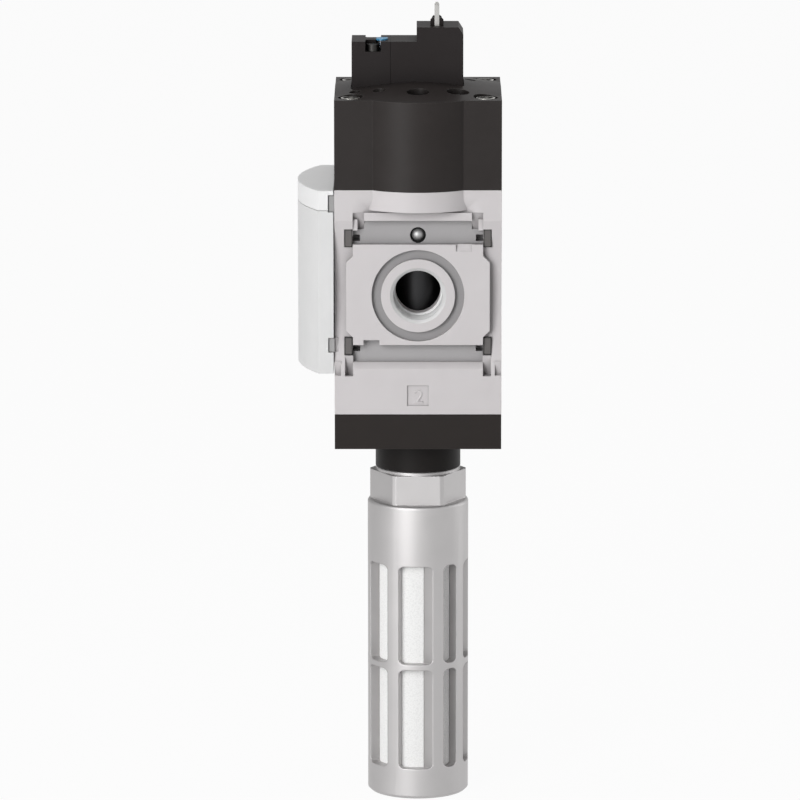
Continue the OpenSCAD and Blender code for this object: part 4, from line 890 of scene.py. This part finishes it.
for piece, finish in ((main_threads, "body_paint"), (pilot_threads, "black_plastic")):
    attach(piece, "module")
    print(piece.name, len(piece.data.polygons), "faces")

# %% [markdown]
# ## Port numbers
# A pneumatic valve's ports are numbered on the casting: 1 for the supply and 2
# for the outlet. Each number stands up from a small square recess, so it is
# made of type, given a thickness a little less than the recess is deep, turned
# into a mesh and laid on the recess floor.

# %% Raised numbers
LABEL_X, LABEL_Z = 0.3 * MM, -38.1 * MM
TYPE_SIZE, TYPE_HALF_THICKNESS, TYPE_ROUND = 7.2 * MM, 0.15 * MM, 0.05 * MM
RECESS, RISE_FROM_FLOOR = 0.5 * MM, 0.2 * MM


def raised_number(text, name, face_y, turned):
    """A number that stands on the floor of the label recess of one port face."""
    type_curve = bpy.data.curves.new(name, "FONT")
    type_curve.body = text
    type_curve.size = TYPE_SIZE
    type_curve.align_x, type_curve.align_y = "CENTER", "CENTER"
    type_curve.extrude = TYPE_HALF_THICKNESS
    type_curve.bevel_depth = TYPE_ROUND
    type_curve.offset = -TYPE_ROUND
    label = bpy.data.objects.new(name, type_curve)
    bpy.context.scene.collection.objects.link(label)
    graph = bpy.context.evaluated_depsgraph_get()
    mesh = bpy.data.meshes.new_from_object(label.evaluated_get(graph))
    bpy.data.objects.remove(label)
    spans = [[v.co[i] for v in mesh.vertices] for i in (0, 1)]
    middle = [(max(span) + min(span)) / 2 for span in spans]
    centred = Matrix.Translation((-middle[0], -middle[1], 0))
    upright = Matrix.Rotation(math.pi / 2, 4, "X")
    around = Matrix.Rotation(math.pi if turned else 0.0, 4, "Z")
    placed = Matrix.Translation((-LABEL_X if turned else LABEL_X, face_y, LABEL_Z))
    mesh.transform(placed @ around @ upright @ centred)
    mesh.materials.clear()
    mesh.materials.append(coated_casting)
    piece = bpy.data.objects.new(name, mesh)
    bpy.context.scene.collection.objects.link(piece)
    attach(piece, "module")
    print(name, len(mesh.polygons), "faces")


raised_number("2", "port_number_two", RECESS - RISE_FROM_FLOOR, False)
raised_number("1", "port_number_one", MODULE_DEPTH - RECESS + RISE_FROM_FLOOR, True)

# %% [markdown]
# ## The floor
# Product pictures of this kind are taken on white paper, so bright that only a
# trace of shadow is left. More light would make the paper white, but it would
# wash out the object too. So the floor's material tells rays apart: what the
# camera and reflections see is nearly all plain white with a small share of lit
# paper, which keeps the shadow, and light that falls on it meets plain paper.

# %% Floor
WHITE = (1.0, 1.0, 1.0, 1.0)
FLOOR_WHITE = 0.95  # the share of plain white in the floor that the camera sees
FLOOR_Z = CAD_BOX[0].z - 0.2 * MM
FLOOR_REACH = 6.0


def shows_backdrop(tree, rays):
    """1 for camera, glossy and transmission rays, and 0 for the light that falls on things."""
    seen = add_node(tree, "ShaderNodeMath", {"operation": "MAXIMUM"},
                    {0: rays["Is Camera Ray"], 1: rays["Is Glossy Ray"]})
    seen = add_node(tree, "ShaderNodeMath", {"operation": "MAXIMUM"},
                    {0: seen.outputs[0], 1: rays["Is Transmission Ray"]})
    return seen.outputs[0]


floor_material = bpy.data.materials.new("studio_floor")
floor_material.use_nodes = True
tree = floor_material.node_tree
tree.nodes.clear()
rays = add_node(tree, "ShaderNodeLightPath").outputs
share = add_node(tree, "ShaderNodeMath", {"operation": "MULTIPLY"},
                 {0: shows_backdrop(tree, rays), 1: FLOOR_WHITE})
paper = add_node(tree, "ShaderNodeBsdfDiffuse", links={"Color": linear("#d0d0d0")})
white = add_node(tree, "ShaderNodeEmission", links={"Color": WHITE, "Strength": 1.0})
mix = add_node(tree, "ShaderNodeMixShader", links={
    0: share.outputs[0], 1: paper.outputs[0], 2: white.outputs[0]})
add_node(tree, "ShaderNodeOutputMaterial", links={"Surface": mix.outputs[0]})

floor_mesh = bpy.data.meshes.new("studio_floor")
floor_mesh.from_pydata([(x * FLOOR_REACH, y * FLOOR_REACH, FLOOR_Z)
                        for x, y in ((-1, -1), (1, -1), (1, 1), (-1, 1))], [], [(0, 1, 2, 3)])
floor_mesh.materials.append(floor_material)
floor = bpy.data.objects.new("studio_floor", floor_mesh)
bpy.context.scene.collection.objects.link(floor)
print("floor at", round(FLOOR_Z / MM, 1), "mm")

# %% [markdown]
# ## The tent
# A white tent stands round the object. The camera sees it plain white. As light
# it is much weaker, and shines more from behind than from the front, so that
# the edges turn away softly. Reflections see it white as well, but dimmer
# towards the back left, which gives the metal its darker side.

# %% Tent
TENT_FRONT, TENT_BACK = 0.12, 0.6
BACK_LEFT, BACK_LEFT_GLEAM = (-0.45, 0.9, 0.0), 0.5
world = bpy.data.worlds.new("white_tent")
bpy.context.scene.world = world
world.use_nodes = True
tree = world.node_tree
tree.nodes.clear()
rays = add_node(tree, "ShaderNodeLightPath").outputs
direction = add_node(tree, "ShaderNodeTexCoord").outputs["Generated"]
depth = add_node(tree, "ShaderNodeSeparateXYZ", links={0: direction}).outputs["Y"]
level = add_node(tree, "ShaderNodeMapRange", links={
    "Value": depth, "From Min": -1.0, "From Max": 1.0,
    "To Min": TENT_FRONT, "To Max": TENT_BACK})
back_left = add_node(tree, "ShaderNodeVectorMath", {"operation": "DOT_PRODUCT"},
                     {0: direction, 1: BACK_LEFT}).outputs["Value"]
gleam = add_node(tree, "ShaderNodeMapRange", links={
    "Value": back_left, "From Min": 0.1, "From Max": 1.0,
    "To Min": 1.0, "To Max": BACK_LEFT_GLEAM})
gleam = add_node(tree, "ShaderNodeMath", {"operation": "MAXIMUM"},
                 {0: gleam.outputs[0], 1: rays["Is Camera Ray"]})
tent = add_node(tree, "ShaderNodeBackground", links={
    "Color": WHITE, "Strength": level.outputs[0]})
backdrop = add_node(tree, "ShaderNodeBackground", links={
    "Color": WHITE, "Strength": gleam.outputs[0]})
mix = add_node(tree, "ShaderNodeMixShader", links={
    0: shows_backdrop(tree, rays), 1: tent.outputs[0], 2: backdrop.outputs[0]})
add_node(tree, "ShaderNodeOutputWorld", links={"Surface": mix.outputs[0]})
print("tent:", len(tree.nodes), "nodes")

# %% [markdown]
# ## The lamps
# Three soft panels do the rest: a large one at the front left, a little above
# the object, which models its forms, a faint one behind it at the right, and
# one overhead for the top faces. They are weak enough that a colour renders
# about as it is written.

# %% Lamps
CENTRE = (0.0, AXIS_Y, -50 * MM)


def soft_panel(name, place, width, height, watts):
    """An area lamp of the given size in metres that looks at the valve's centre."""
    lamp = bpy.data.lights.new(name, "AREA")
    lamp.shape, lamp.size, lamp.size_y, lamp.energy = "RECTANGLE", width, height, watts
    holder = bpy.data.objects.new(name, lamp)
    bpy.context.scene.collection.objects.link(holder)
    holder.location = place
    towards = Vector(CENTRE) - Vector(place)
    holder.rotation_euler = towards.to_track_quat("-Z", "Y").to_euler()


soft_panel("key_panel", (-0.66, -1.25, 0.35), 0.7, 1.0, 16)
soft_panel("side_panel", (1.25, 0.5, 0.2), 0.4, 1.0, 2)
soft_panel("top_panel", (-0.2, -0.1, 1.3), 0.7, 0.7, 3.2)
print("lamps:", len(bpy.data.lights))

# %% [markdown]
# ## Camera
# The picture is taken from 2.4 m with a long lens, eleven degrees above the
# horizon and square to the front. The lens is shifted by a few pixels so that
# the valve stands a little right of the middle, as in the picture.

# %% Camera
DISTANCE = 2.3955
RISE = math.radians(11.04)
TARGET = Vector((0, AXIS_Y, -45.4 * MM))
lens = bpy.data.cameras.new("camera")
lens.lens = 285.9
lens.sensor_width = 36
lens.shift_x = -0.0225
lens.clip_start, lens.clip_end = 0.1, 30
camera = bpy.data.objects.new("camera", lens)
bpy.context.scene.collection.objects.link(camera)
camera.location = TARGET + DISTANCE * Vector((0, -math.cos(RISE), math.sin(RISE)))
camera.rotation_euler = (math.pi / 2 - RISE, 0, 0)
bpy.context.scene.camera = camera
bpy.context.scene.view_settings.view_transform = "Standard"
print("camera at", [round(v, 3) for v in camera.location])
